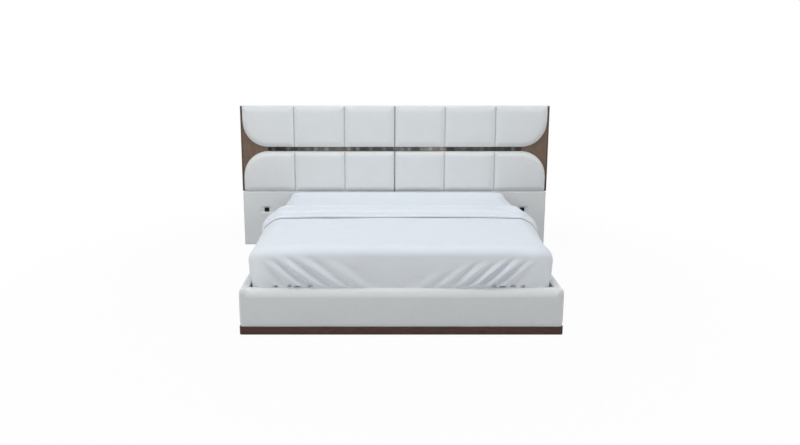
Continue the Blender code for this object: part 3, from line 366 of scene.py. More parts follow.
def planed_pine(name, along):
    """Planed pine: pale, with wide soft year rings along the board."""
    material, tree, place = new_material(name, 0.62, IOR=1.5)
    ring_width = 0.012
    fibre_width = 0.0015
    lined = add(tree, "Mapping", {"Vector": place, "Scale": drawn_out(along, 0.05)})
    rings = add(tree, "TexNoise",
                {"Vector": lined, "Scale": 1 / ring_width, "Detail": 3.0, "Distortion": 1.2})
    fibres = add(tree, "TexNoise", {"Vector": lined, "Scale": 1 / fibre_width, "Detail": 2.0})
    ringed = add(tree, "MapRange", {"Value": rings, 1: 0.42, 2: 0.62})
    wood = add(tree, "Mix", {0: ringed, 6: "#C79F6B", 7: "#E2C79C"}, data_type="RGBA")
    base = add(tree, "Mix", {0: fibres, 6: "#D0AC7C", 7: wood}, data_type="RGBA")
    return finished(material, Base_Color=base)


def woven(name, colour, darker, thread, roughness, sheen, depth):
    """A plain weave: sets of threads that cross, with painted shade between them, where the colour is a
    little deeper.
    """
    material, tree, place = new_material(name, roughness, Sheen_Weight=sheen, Sheen_Roughness=0.5)
    scale = 1 / (thread * 6.28)  # a light and a dark band then take up two threads
    bands = [add(tree, "TexWave", {"Vector": place, "Scale": scale, "Distortion": 0.4},
                 bands_direction=direction).outputs["Fac"] for direction in "XYZ"]
    crossed = add(tree, "Math", {0: bands[0], 1: bands[1]})
    threads = add(tree, "Math", {0: crossed, 1: bands[2]})
    share = add(tree, "MapRange", {"Value": threads, 1: 0.6, 2: 2.4})
    slubs = add(tree, "TexNoise", {"Vector": place, "Scale": 9.0, "Detail": 4.0})
    level = add(tree, "Math", {0: share, 1: slubs}, operation="MULTIPLY")
    # Painted shade: the colour goes towards the darker one between the threads
    base = add(tree, "Mix", {0: level, 6: darker, 7: colour}, data_type="RGBA")
    bump = add(tree, "Bump", {"Height": share, "Strength": 0.2, "Distance": depth})
    return finished(material, Base_Color=base, Normal=bump)


LEATHER = white_leather()
WALNUT_UPRIGHT = walnut("walnut_veneer_upright", 2, "#796350", "#4B3B30", "#694838")
# A darker copy of the walnut for the end boards: painted shade of the narrow gap beside the pads
WALNUT_END_BOARD_SHADED = walnut("walnut_end_board_painted_shade", 2, "#5E4A3B", "#37291E", "#4C3528")
WALNUT_PLINTH = walnut("walnut_veneer_plinth", 0, "#52382A", "#2E1C15", "#46281E")
WALNUT_PLINTH_SIDE = walnut("walnut_veneer_plinth_side", 1, "#52382A", "#2E1C15", "#46281E")
MIRROR = bronze_mirror()
TRIM = brushed_metal("brushed_grey_metal", "#8B8D8E", "#6E7071", 0.34, 0.0006)
STEEL = brushed_metal("zinc_plated_steel", "#B4B6B8", "#93969A", 0.36, 0.0008)
PLASTIC = black_plastic()
PINE_ACROSS = planed_pine("planed_pine_across", 0)
PINE_ALONG = planed_pine("planed_pine_along", 1)
PINE_UPRIGHT = planed_pine("planed_pine_upright", 2)
# Real threads are 0.2 to 0.8 mm; those of the three cloths are drawn coarser so that they show
# The second colour of each cloth is its painted shade between the threads
BACKING = woven("black_backing_cloth", "#46474A", "#2C2D2F", 0.0016, 0.9, 0.1, 0.0002)
TICKING = woven("mattress_ticking", "#F0EFEC", "#DCDAD5", 0.0018, 0.85, 0.2, 0.0003)
COTTON = woven("white_cotton_sateen", "#DFE3E9", "#D7DCE2", 0.0011, 0.72, 0.25, 0.00012)
SLOT_FINISHES = {
    "leather": LEATHER, "cotton": COTTON, "ticking": TICKING,
    "black_plastic": PLASTIC, "bronze_mirror": MIRROR,
}


def finish_nodes():
    """Give each CAD node that stays in view its material."""
    rules = (
        (WALNUT_UPRIGHT, ("face_board",)), (WALNUT_END_BOARD_SHADED, ("end_board",)),
        (WALNUT_PLINTH, ("plinth_foot",)), (WALNUT_PLINTH_SIDE, ("plinth_",)),
        (MIRROR, ("mirror_strip",)), (TRIM, ("centre_trim",)), (STEEL, ("centre_leg", "headboard_bolt")),
        (PLASTIC, ("power_socket",)), (BACKING, ("back_panel",)), (TICKING, ("mattress",)),
        (PINE_ACROSS, ("frame_bottom", "frame_top", "lower_panel_board", "pad_board", "foot_rail_board",
                       "head_rail", "slatted_base")),
        (PINE_ALONG, ("side_rail_board", "slat_ledge")), (PINE_UPRIGHT, ("frame_", "corner_block")),
        (COTTON, ("fitted_sheet", "duvet")), (LEATHER, ("",)),
    )
    for name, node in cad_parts.items():
        material = next(finish for finish, starts in rules if name.startswith(starts))
        node.data.materials.clear()
        node.data.materials.append(material)


def drift(u, v, size, seed):
    """Slow unevenness between about -1 and 1, with swells about one size wide."""
    draw = np.random.default_rng(seed)
    total = 0
    for _ in range(7):
        turn = draw.uniform(0, pi)
        reach = size * draw.uniform(0.7, 1.7)
        phase = draw.uniform(0, 6.28)
        total = total + np.sin(2 * pi * (u * cos(turn) + v * sin(turn)) / reach + phase)
    return total / 3


def smooth(value):
    """A smooth rise from 0 to 1 while the value goes from 0 to 1."""
    share = np.clip(value, 0, 1)
    return share * share * (3 - 2 * share)


def parts(steps, whole=1):
    """Equal steps from 0 to a whole, such as an arc's turn."""
    return [whole * i / steps for i in range(steps + 1)]


def crowded(length, border, border_steps, middle_steps):
    """Places along a length, closer together towards its two ends."""
    start = [border * (1 - cos(angle)) for angle in parts(border_steps, QUARTER_TURN)[:-1]]
    middle = [border + part for part in parts(middle_steps, length - 2 * border)]
    return start + middle + [length - place for place in reversed(start)]


def stepped(stops, counts):
    """Places from stop to stop, each stretch with its own count of places, ends included."""
    stretches = [np.linspace(start, end, count)[1:] for start, end, count in zip(stops, stops[1:], counts)]
    return [stops[0], *np.concatenate(stretches)]


def grid_faces(rows, columns, closed=False):
    """Quads of a grid of points that is stored row by row."""
    faces = []
    for r in range(rows - 1):
        for c in range(columns if closed else columns - 1):
            d = (c + 1) % columns
            faces.append((r * columns + c, r * columns + d, (r + 1) * columns + d, (r + 1) * columns + c))
    return faces


def rim_order(rows, columns):
    """Indices of a grid's outermost points, in order round it."""
    index = [[r * columns + c for c in range(columns)] for r in range(rows)]
    right = [row[-1] for row in index[1:]]
    far = index[-1][-2::-1]
    left = [row[0] for row in index[-2:0:-1]]
    return index[0] + right + far + left


def ring_faces(ring, next_ring):
    """Quads between two closed rings of points."""
    pairs = list(zip(ring, next_ring))
    return [(a, b, d, c) for (a, c), (b, d) in zip(pairs, pairs[1:] + pairs[:1])]


def placed(name, data, place=(0, 0, 0), turn=(0, 0, 0)):
    """A new object at its place in the scene, turned by three angles in degrees."""
    made = bpy.data.objects.new(name, data)
    made.location = place
    made.rotation_euler = [radians(angle) for angle in turn]
    bpy.context.collection.objects.link(made)
    return made


def piece(name, points, faces, slot, node, sharp=None):
    """A mesh piece that rides on the bed, with its faces turned outwards and no loose points."""
    mesh = bpy.data.meshes.new(name)
    mesh.from_pydata(np.reshape(points, (-1, 3)).tolist(), [], faces)
    bm = bmesh.new()
    bm.from_mesh(mesh)
    bmesh.ops.delete(bm, geom=[vert for vert in bm.verts if not vert.link_faces], context="VERTS")
    bmesh.ops.recalc_face_normals(bm, faces=bm.faces)
    bm.to_mesh(mesh)
    bm.free()
    mesh.materials.append(SLOT_FINISHES[slot])
    mesh.shade_smooth()
    if sharp is not None:
        mesh.set_sharp_from_angle(angle=radians(sharp))
    made = placed(name, mesh)
    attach(made, "root")
    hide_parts(node)
    return made


def loft_piece(name, sections, slot, node, sharp=50):
    """Skin a row of closed sections, with both ends capped."""
    count = len(sections[0])
    total = len(sections) * count
    faces = grid_faces(len(sections), count, closed=True)
    faces += [tuple(range(count)), tuple(range(total - count, total))]
    return piece(name, sections, faces, slot, node, sharp)


def thicken(made, thickness):
    """Give a surface its thickness, inwards."""
    solid = made.modifiers.new("thickness", "SOLIDIFY")
    solid.thickness = thickness
    solid.offset = -1


# Headboard pads

def pad_drop(a, b, seams, height, strip_drop, foot_drop):
    """How far the pad's front lies below its full depth.

    Each section is a low cushion with a mitred border on all four sides. The pad's own edges roll over,
    more deeply along the big curve, and the seams between the sections are pulled in.
    """
    length = seams[-1]
    section = length / PAD_SECTIONS
    here = np.interp(a, seams, [section * i for i in range(PAD_SECTIONS + 1)]) % section
    in_corner = (a > length - PAD_CORNER) & (b < PAD_CORNER)
    to_corner = PAD_CORNER - np.hypot(a - length + PAD_CORNER, PAD_CORNER - b)
    to_rim = np.minimum(np.minimum(a, length - a), np.minimum(b, height - b))
    to_rim = np.where(in_corner, to_corner, to_rim)
    to_side = np.minimum(np.minimum(here, section - here), to_rim)
    border = PAD_BORDER_DROP * np.clip(1 - to_side / PAD_BORDER, 0, 1) ** PAD_BORDER_POWER
    edge = PAD_EDGE_DROP * np.clip(1 - to_rim / PAD_EDGE_WIDTH, 0, 1) ** PAD_EDGE_POWER
    near_curve = smooth((a - seams[-2]) / PAD_BORDER)
    to_curve = np.where(in_corner, to_corner, b)
    curve = near_curve * PAD_CURVE_DROP * np.clip(1 - to_curve / PAD_BORDER, 0, 1) ** 2
    foot = foot_drop * np.clip(1 - (height - b) / PAD_BORDER, 0, 1) ** 2
    border = border + strip_drop * np.clip(1 - b / PAD_BORDER, 0, 1) ** 2
    beside = np.min([np.abs(a - seam) for seam in seams[1:-1]], axis=0)
    groove = SEAM_GROOVE * np.exp(-(beside / SEAM_WIDTH) ** 2)
    across = here / section * 2 - 1
    upwards = b / height * 2 - 1
    crown = PAD_CROWN * (1 - across ** 2) * (1 - upwards ** 2)
    return border + edge + np.maximum(curve, foot) + groove + PAD_CROWN - crown


def build_pad(row, word, side, seed):
    """One leather pad: three cushions between sewn channels, each with mitred, rounded borders."""
    node = f"pad_{row}_{word}"
    low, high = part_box(node)
    length = high.x - low.x - PAD_END_PLAY
    height = high.z - low.z
    inner = min(abs(low.x), abs(high.x))
    upward, strip_edge = (1, low.z) if row == "upper" else (-1, high.z)
    seams = [length / PAD_SECTIONS * i - SEAM_INSET * (0 < i < PAD_SECTIONS) for i in range(PAD_SECTIONS + 1)]
    columns = [
        start + place for i, (start, end) in enumerate(zip(seams, seams[1:]))
        for place in crowded(end - start, PAD_BORDER, 12, 12)[min(i, 1):]
    ]
    a, b = np.meshgrid(columns, crowded(height, PAD_BORDER, 12, 18))
    # The grid's square corner is turned into the pad's big round one
    out = np.clip((a - length + PAD_CORNER) / PAD_CORNER, 0, 1)
    down = np.clip((PAD_CORNER - b) / PAD_CORNER, 0, 1)
    in_corner = (out > 0) & (down > 0)
    a = np.where(in_corner, length - PAD_CORNER + PAD_CORNER * out * np.sqrt(1 - down ** 2 / 2), a)
    b = np.where(in_corner, PAD_CORNER - PAD_CORNER * down * np.sqrt(1 - out ** 2 / 2), b)
    drops = (PAD_STRIP_DROP, PAD_FOOT_DROP) if row == "lower" else (0, 0)
    front = low.y + pad_drop(a, b, seams, height, *drops) + PAD_UNEVEN * drift(a, b, PAD_SWELL, seed)
    points = list(np.stack([side * (inner + a), front, strip_edge + upward * b], axis=-1).reshape(-1, 3))
    faces = grid_faces(*a.shape)
    rim = rim_order(*a.shape)
    middle_x = side * (inner + length / 2)
    middle_z = strip_edge + upward * height / 2
    before = rim
    for inset, share in PAD_RIM:
        ring = range(len(points), len(points) + len(rim))
        for x, y, z in [points[index] for index in rim]:
            points.append((
                middle_x + (x - middle_x) * (1 - inset / (length / 2)),
                y + (high.y - y) * share,
                middle_z + (z - middle_z) * (1 - inset / (height / 2)),
            ))
        faces += ring_faces(before, ring)
        before = ring
    faces.append(tuple(before))
    piece(f"leather_{node}", points, faces, "leather", node)


# Rails

def rail_profile(bottom, top, rounding):
    """Section of a rail's cover: (inset from the outer face, height)."""
    round_width, round_height = rounding
    low = bottom + RAIL_TUCK_HEIGHT
    high = top - round_height
    points = [(RAIL_TUCK * (1 - share) ** 2, bottom + RAIL_TUCK_HEIGHT * share) for share in parts(7)[:-1]]
    for share in parts(15)[:-1]:
        points.append((-RAIL_BELLY * sin(pi * share), low + (high - low) * share))
    for angle in parts(16, QUARTER_TURN):
        points.append((round_width * (1 - cos(angle)), high + round_height * sin(angle)))
    for angle in parts(6, QUARTER_TURN):
        points.append((
            RAIL_COVER_THICKNESS - RAIL_INNER_ROUND * (1 - sin(angle)),
            top - RAIL_INNER_ROUND * (1 - cos(angle)),
        ))
    lining = RAIL_COVER_THICKNESS - RAIL_LINING
    flange = top - RAIL_FLANGE
    cavity = top - RAIL_BOARD_TOP
    points += [
        (RAIL_COVER_THICKNESS, flange), (lining, flange), (lining, cavity),
        (RAIL_PADDING, cavity), (RAIL_PADDING, bottom),
    ]
    return np.array(points)


def build_rails():
    """Leather covers of the three rails, which meet in a sewn mitre at each foot corner."""
    low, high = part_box("foot_rail_cover")
    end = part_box("side_rail_cover_right")[1].y
    half = high.x
    foot = low.y
    foot_section = rail_profile(low.z, high.z, FOOT_ROUNDING)
    side_section = rail_profile(low.z, high.z, SIDE_ROUNDING)
    insets, heights = side_section.T
    padded_side = insets < RAIL_COVER_THICKNESS / 2
    centre = np.maximum(BED_CORNER, insets + CORNER_LEAST_RADIUS)
    mitre_turn = pi / 4

    def corner_section(turn, side, play):
        """The cover's section at a turn round the corner, drawn in next to the mitre."""
        from_mitre = abs(turn - mitre_turn) * BED_CORNER
        sink = np.where(padded_side, MITRE_DIP * exp(-(from_mitre / MITRE_REACH) ** 1.4), 0)
        radius = centre - insets - sink
        x = side * (half - centre + radius * sin(turn))
        return np.stack([x, foot + centre - radius * cos(turn) + play, heights], axis=-1)

    sections = [corner_section(mitre_turn * (1 - share), -1, 0) for share in parts(8)]
    corner_sections = sections[::-1]
    reach = half - BED_CORNER
    for travelled in crowded(2 * reach, CORNER_BLEND, 8, 100)[1:-1]:
        place = travelled - reach
        share = 1 - smooth((reach - abs(place)) / CORNER_BLEND)
        inset, height = (foot_section + (side_section - foot_section) * share).T
        uneven = np.where(padded_side, RAIL_UNEVEN * drift(place, height, RAIL_SWELL, 11), 0)
        mitre = np.maximum(BED_CORNER, inset + CORNER_LEAST_RADIUS)
        x = np.clip(place, -half + mitre, half - mitre)
        sections.append(np.stack([x, foot + inset + uneven, height], axis=-1))
    sections += [section * (-1, 1, 1) for section in corner_sections]
    loft_piece("leather_foot_rail_cover", sections, "leather", "foot_rail_cover")

    start = foot + BED_CORNER
    for word, side in SIDES:
        sections = [corner_section(mitre_turn * (1 + share), side, MITRE_PLAY) for share in parts(8)]
        for share in parts(100)[1:]:
            y = start + (end - start) * share
            uneven = RAIL_UNEVEN * drift(y, heights, RAIL_SWELL, 12 + side) * (share < 1)
            bulge = SIDE_RAIL_BULGE * smooth((y - start) / BULGE_FROM_FOOT)
            bulge = bulge * smooth((end - y) / BULGE_TO_HEAD)
            bulge = bulge * smooth((heights - low.z) / BULGE_RISE)
            x = side * (half - insets + np.where(padded_side, bulge - uneven, 0))
            sections.append(np.stack([x, np.maximum(foot + centre, y), heights], axis=-1))
        name = f"side_rail_cover_{word}"
        loft_piece(f"leather_{name}", sections, "leather", name)


# Lower panels

def build_lower_panel(word, side, seed):
    """Leather over thin wadding: it turns the corner, and dips where the socket is let in."""
    node = f"lower_panel_cover_{word}"
    low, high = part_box(node)
    start, end = sorted((abs(low.x), abs(high.x)))
    front = low.y
    back = high.y
    inner = end - PANEL_RETURN
    lining = front + PANEL_PADDING
    socket_low, socket_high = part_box(f"power_socket_{word}")
    socket_start, socket_end = sorted((abs(socket_low.x), abs(socket_high.x)))
    hole_x = (socket_start - SOCKET_PLAY, socket_end + SOCKET_PLAY)
    hole_z = (socket_low.z - SOCKET_PLAY, socket_high.z + SOCKET_PLAY)
    stops_x = (start, hole_x[0] - FINE_X, *hole_x, hole_x[1] + FINE_X, end - PANEL_CORNER)
    stops_z = (low.z + PANEL_HEM, hole_z[0] - FINE_Z, *hole_z, hole_z[1] + FINE_Z, high.z - PANEL_ROUND)
    spread = stepped(stops_x, (50, 12, 9, 12, 12))
    levels = [(PANEL_HEM, low.z), (PANEL_HEM * 0.3, low.z + PANEL_HEM * 0.3)]
    levels += [(0, z) for z in stepped(stops_z, (16, 10, 8, 10, 10))]
    for angle in parts(6, QUARTER_TURN)[1:]:
        levels.append((PANEL_ROUND * (1 - cos(angle)), high.z - PANEL_ROUND * (1 - sin(angle))))
    sections = []
    for inset, z in levels:
        outline = []
        for x in spread:
            beside = max(hole_x[0] - x, x - hole_x[1], 0) / DIMPLE_REACH_X
            above = max(hole_z[0] - z, z - hole_z[1], 0) / DIMPLE_REACH_Z
            dip = DIMPLE_DEPTH * (1 - smooth(hypot(beside, above)))
            uneven = PANEL_UNEVEN * drift(x, z, PANEL_SWELL, seed) * min((x - start) / 0.05, 1)
            outline.append((x, front + inset + dip + uneven))
        radius = PANEL_CORNER - inset
        for angle in parts(8, QUARTER_TURN)[1:]:
            outline.append((
                end - inset - radius * (1 - sin(angle)),
                front + inset + radius * (1 - cos(angle)),
            ))
        outline += [(end - inset, back), (inner, back), (inner, lining), (start, lining)]
        sections.append([(side * x, y, z) for x, y in outline])
    # The faces in front of the socket are left out, and the hole's rim is led back to the lining
    count = len(sections[0])
    heights = [z for _, z in levels]
    columns = range(spread.index(hole_x[0]), spread.index(hole_x[1]))
    rows = range(heights.index(hole_z[0]), heights.index(hole_z[1]))
    faces = [face for face in grid_faces(len(sections), count, closed=True)
             if face[0] // count not in rows or face[0] % count not in columns]
    rim = [divmod(index, len(columns) + 1) for index in rim_order(len(rows) + 1, len(columns) + 1)]
    ring = [(rows[0] + r) * count + columns[0] + c for r, c in rim]
    points = [point for section in sections for point in section]
    total = len(points)
    points += [(points[i][0], lining, points[i][2]) for i in ring]
    faces += ring_faces(ring, range(total, len(points)))
    faces += [tuple(range(count)), tuple(range(total - count, total))]
    piece(f"leather_{node}", points, faces, "leather", node, sharp=50)


# Bedding

def drape(half_width, head, foot, profile, across, along, head_too):
    """A grid laid over a box: flat on top, and down its sides by the levels of a profile.

    The profile lists (outset, height) from the edge of the flat part. The result has the plan place,
    the way out in plan, the outset and height, and the level of each point.
    """
    levels = len(profile) - 1
    columns = np.arange(-across - levels, across + levels + 1)
    rows = np.arange(-levels if head_too else 0, along + levels + 1)
    i, j = np.meshgrid(columns, rows)
    side = np.maximum(np.abs(i) - across, 0)
    end = np.maximum(j - along, 0) + np.maximum(-j, 0)
    level = np.maximum(side, end)
    turn = np.where(side >= end, end / np.maximum(side, 1), 2 - side / np.maximum(end, 1)) * pi / 4
    out_x = np.where(side == 0, 0, np.sign(i) * np.cos(turn))
    out_y = np.where(end == 0, 0, np.where(j > along, -1, 1) * np.sin(turn))
    x = np.clip(i, -across, across) * half_width / across
    y = head + (foot - head) * np.clip(j, 0, along) / along
    outset, height = np.array(profile).T[:, level]
    return x, y, out_x, out_y, outset, height, level


def mattress_profile(outset, bottom, top):
    """From the flat top's edge, over the rounded edge and down the side."""
    side = MATTRESS_CORNER + outset
    flat = side - MATTRESS_EDGE
    low = top - MATTRESS_EDGE
    profile = [(outset, top) for outset in parts(5, flat)[:-1]]
    for angle in parts(12, QUARTER_TURN):
        profile.append((flat + MATTRESS_EDGE * sin(angle), top - MATTRESS_EDGE * (1 - cos(angle))))
    return profile + [(side, low - (low - bottom) * share) for share in parts(16)[1:]]


def build_mattress():
    """The mattress, with a tape round its top and bottom and lightly quilted."""
    low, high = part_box("mattress")
    profile = mattress_profile(0, low.z + MATTRESS_FOOT_ROUND, high.z)
    profile.append((MATTRESS_CORNER - MATTRESS_FOOT_BEVEL, low.z + MATTRESS_FOOT_BEVEL))
    profile.append((MATTRESS_CORNER - MATTRESS_FOOT_ROUND, low.z))
    taped = []
    for outset, height in profile:
        for tape_level in (high.z - MATTRESS_EDGE, low.z + TAPE_HEIGHT):
            outset += TAPE_DEPTH * exp(-((height - tape_level) / TAPE_RADIUS) ** 2)
        taped.append((outset - TAPE_DEPTH, height))
    x, y, out_x, out_y, outset, height, level = drape(
        high.x - MATTRESS_CORNER, high.y - MATTRESS_CORNER, low.y + MATTRESS_CORNER, taped, 40, 40, True)
    quilt = -QUILT_DEPTH * np.abs(np.sin(x * QUILT_TURN)) * np.abs(np.sin(y * QUILT_TURN)) * (level == 0)
    points = np.stack([x + out_x * outset, y + out_y * outset, height + quilt], axis=-1)
    faces = grid_faces(*x.shape) + [tuple(rim_order(*x.shape))]
    piece("quilted_mattress", points, faces, "ticking", "mattress")


def build_sheet():
    """The fitted sheet, stretched over the mattress, with slight creases beside the turned-back duvet."""
    low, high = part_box("fitted_sheet")
    corner = MATTRESS_CORNER + SHEET_THICKNESS
    half = high.x - corner
    profile = mattress_profile(SHEET_THICKNESS, low.z, high.z)
    x, y, out_x, out_y, outset, height, level = drape(
        half, high.y - corner, low.y + corner, profile, 70, 80, True)
    on_top = level < 8
    drop = np.clip((high.z - height) / (high.z - low.z), 0, 1)
    # The sheet stands out at the sides of the head end, where nothing holds it down
    square = (np.abs(out_x) ** 8 + np.abs(out_y) ** 8 + (level == 0)) ** (-1 / 8)
    squared = np.where(out_y > 0, np.clip(square, 1, 1.2), 1)
    out_x = out_x * squared
    out_y = out_y * squared
    near_head = smooth((y - 0.05) / 0.25)
    belly = SHEET_BELLY * np.where(x > 0, SHEET_BELLY_SHARES[1], SHEET_BELLY_SHARES[0])
    loose = belly * np.sin(pi * np.clip(drop * 0.9 + 0.1, 0, 1)) * near_head * (np.abs(out_x) > 0.5)
    tight = np.clip(drop * (high.z - low.z) / MATTRESS_EDGE, 0, 1)
    tighter = (tight - tight ** 2.4) * MATTRESS_EDGE * (out_y > 0) * (level > 0) * (tight < 1)
    crown = SHEET_CROWN * smooth((y - 0.1) / 0.6) * (1 - drop)
    crease_line = 0.30 + 0.02 * np.sin(x * 2.3)
    crown = crown - SHEET_CREASE * np.exp(-((y - crease_line) / 0.022) ** 2) * on_top
    top_ripple = SHEET_TOP_RIPPLE * drift(x * 0.25, y, 0.11, 31) * smooth((0.9 - y) / 0.3) * on_top
    side_ripple = SHEET_SIDE_RIPPLE * drift(y, height * 0.4, 0.12, 32) * ~on_top * (drop < 0.9)
    near_side = smooth((np.abs(x) - half + 0.15) / 0.15)
    x = x - np.sign(x) * SHEET_TOP_DRAW * near_head * (1 - smooth(drop / 0.12)) * near_side
    points = np.stack([
        x + out_x * (outset + loose + side_ripple) + HEAD_SHIFT * near_head * (drop < 0.8),
        y + out_y * (outset + side_ripple),
        height + top_ripple + tighter + crown,
    ], axis=-1)
    sheet = piece("stretched_fitted_sheet", points, grid_faces(*x.shape), "cotton", "fitted_sheet")
    thicken(sheet, SHEET_THICKNESS)


def fold_field(x, z, valleys):
    """Height of the folds from -0.5 (valley) to 0.5 (ridge), each valley on its own slanting line."""
    result = np.zeros_like(x)
    full = hypot(1, VALLEY_SOFTNESS) - VALLEY_SOFTNESS
    places = [at_rail + copysign(run, at_rail) * (z - RAIL_TOP) for at_rail, run, _, _ in valleys]
    strengths = [depth * smooth((top - z) / FOLD_FADE) for _, _, top, depth in valleys]
    for place, next_place, strong, next_strong in zip(places, places[1:], strengths, strengths[1:]):
        width = np.maximum(next_place - place, 1e-4)
        share = (x - place) / width
        inside = (share >= 0) & (share <= 1)
        strength = np.minimum(strong + (next_strong - strong) * share, np.maximum(strong, next_strong))
        narrow = np.clip(FULL_FOLD_WIDTH / width, 0, 1) ** 0.5
        swing = np.sin(pi * np.clip(share, 0, 1))
        ridge = (np.hypot(swing, VALLEY_SOFTNESS) - VALLEY_SOFTNESS) / full
        result = np.where(inside, strength * (ridge * narrow - 0.5), result)
    return result


def duvet_profile(fullness, width):
    """From the flat top's edge over the shoulder, down the side to the hem."""
    profile = []
    for angle in parts(22, QUARTER_TURN):
        down = 1 - abs(cos(angle)) ** fullness
        profile.append((width * sin(angle) ** fullness, DUVET_TOP - SHOULDER_HEIGHT * down))
    low = DUVET_TOP - SHOULDER_HEIGHT
    for share in parts(FACE_STEPS)[1:]:
        profile.append((width - DUVET_HEM_DRAW * min(share / 0.83, 1), low - (low - DUVET_HEM) * share))
    return np.array(profile)


def foot_profile():
    """The same at the foot, where the shoulder is tighter and the face bulges out towards the rail."""
    width, height = FOOT_SHOULDER
    flat = SHOULDER_WIDTH - FOOT_BULGE - width
    profile = [(outset, DUVET_TOP) for outset in parts(4, flat)[:-1]]
    for angle in parts(18, radians(FOOT_SHOULDER_TURN)):
        profile.append((flat + width * sin(angle), DUVET_TOP - height * (1 - cos(angle))))
    start, level = profile[-1]
    for share in parts(FACE_STEPS)[1:]:
        bulge = FOOT_BULGE * sin(QUARTER_TURN * min(share / 0.8, 1))
        profile.append((start + bulge, level - (level - DUVET_HEM) * share))
    return np.array(profile)


def outward(path):
    """Normals of a path in a plane: their parts across and up."""
    steps = np.gradient(path, axis=0)
    lengths = np.hypot(steps[:, 0], steps[:, 1])
    return -steps[:, 1] / lengths, steps[:, 0] / lengths


def head_spread(x, y, z):
    """How far the duvet lies further out and to the right towards its head end, above the rails."""
    at_head = smooth((y + 0.85) / 0.84)
    above_rails = smooth((z - 0.315) / 0.12)
    across = np.clip(x / FLAT_HALF, -1, 1)
    below_shoulder = 1 - smooth((z - 0.47) / 0.10)
    return at_head * above_rails * (across * (HEAD_WIDEN + HEAD_SPREAD * below_shoulder) + HEAD_SHIFT)


def build_duvet():
    """The duvet's body: full and soft, with folds that fan from each foot corner to the rail."""
    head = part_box("duvet")[1].y - DUVET_HEAD_PLAY
    profile = duvet_profile(SIDE_FULLNESS, SHOULDER_WIDTH)
    x, y, out_x, out_y, outset, height, level = drape(
        FLAT_HALF, head, -DUVET_FOOT + SHOULDER_WIDTH, profile, 140, 56, False)
    normal_out, normal_up = outward(profile)
    normal_out = np.where(level == 0, 0, normal_out[level])
    normal_up = np.where(level == 0, 1, normal_up[level])
    at_head = smooth((y + 0.75) / 0.6)
    foot_share = np.clip(np.abs(out_y), 0, 1) * (out_y < 0)
    at_foot = smooth((foot_share - 0.30) / 0.60)
    head_profile = duvet_profile(HEAD_FULLNESS, HEAD_SHOULDER_WIDTH)
    for share, other in ((at_head, head_profile), (at_foot, foot_profile())):
        outset = outset + share * (other[level, 0] - outset)
        height = height + share * (other[level, 1] - height)
    plan_x = x + out_x * outset
    along = y + out_y * outset
    from_side = FLAT_HALF + PUFF_BEYOND - np.abs(plan_x)
    puffed = smooth((-y - 0.60) / 0.33) * smooth(from_side / 0.30)
    height = height + FOOT_RISE * puffed * (height - DUVET_HEM) / (DUVET_TOP - DUVET_HEM)
    foot_folds = fold_field(plan_x, height, FOOT_VALLEYS)
    side_folds = fold_field(along, height, SIDE_VALLEYS)
    swell = FOLD_HEIGHT * foot_folds * smooth((foot_share - 0.75) / 0.25)
    swell = swell + FOLD_HEIGHT * side_folds * smooth((np.abs(out_x) - 0.9) / 0.1)
    inside_rail = smooth((height - 0.300) / 0.030)
    swell = np.where(swell > 0, swell * inside_rail, swell * (0.5 + 0.5 * inside_rail))
    for place, width in HEM_GAPS:
        arch = np.exp(-((plan_x - place) / width) ** 2) * smooth((HEM_GAP_TOP - height) / 0.014)
        swell = swell - HEM_GAP_DEPTH * arch * (foot_share > 0.9)
    slow = 0.0016 * drift(plan_x, along, 0.55, 41) + 0.0012 * drift(plan_x, along * 2, 0.22, 42) * (level > 8)
    middle = smooth(from_side / PUFF_RUN) * smooth((along + 0.95) / 0.35)
    rise = swell + slow * inside_rail + DUVET_PUFF * middle
    points = np.stack([
        x + out_x * (outset + rise * normal_out) + head_spread(x, along, height),
        y + out_y * (outset + rise * normal_out),
        height + rise * normal_up,
    ], axis=-1)
    columns = x.shape[1]
    # Quads left of the middle start one corner later, so that on both sides they are split across the folds
    faces = [face[1:] + face[:1] if face[0] % columns < columns // 2 else face
             for face in grid_faces(*x.shape)]
    body = piece("duvet_body", points, faces, "cotton", "duvet")
    thicken(body, DUVET_THICKNESS)


def band_outline(steps):
    """Section of the turned-back end, from under its free edge over the top to the head-end fold."""
    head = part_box("duvet")[1].y
    nose = BAND_EDGE / 2
    stretched = nose * BAND_NOSE_STRETCH
    fold = (BAND_THICKNESS + BAND_FOLD_SAG) / 2
    start = head - BAND_LENGTH + stretched
    end = head - fold
    outline = [(end - part, BAND_LIFT) for part in parts(8, end - start)]
    for angle in parts(8, pi)[1:-1]:
        outline.append((start - stretched * sin(angle), BAND_LIFT + nose - nose * cos(angle)))
    for share in parts(steps):
        thickness = BAND_EDGE + (BAND_THICKNESS - BAND_EDGE) * smooth(share * (end - start) / BAND_RISE)
        outline.append((start + (end - start) * share, BAND_LIFT + thickness))
    centre = BAND_LIFT + BAND_THICKNESS - fold
    for angle in parts(12, pi)[1:]:
        outline.append((end + fold * sin(angle), centre + fold * cos(angle)))
    return outline


def crease_depth(travelled, share):
    """How deep the creases are at a place across and along the turned-back end."""
    depth = 0.0
    for side, start, end, share_from, share_to, deepest in CREASES:
        place = abs(travelled) if side == 0 else travelled * side
        if place < start:
            continue
        run = (place - start) / (end - start)
        line = share_from + (share_to - share_from) * smooth(run)
        line += CREASE_WANDER_SHARE * sin(5.1 * travelled + 9 * share_from)
        strength = 1.0 if side == 0 else smooth(run / 0.35)
        depth += deepest * strength * exp(-((share - line) / CREASE_WIDTH_SHARE) ** 2)
    return depth


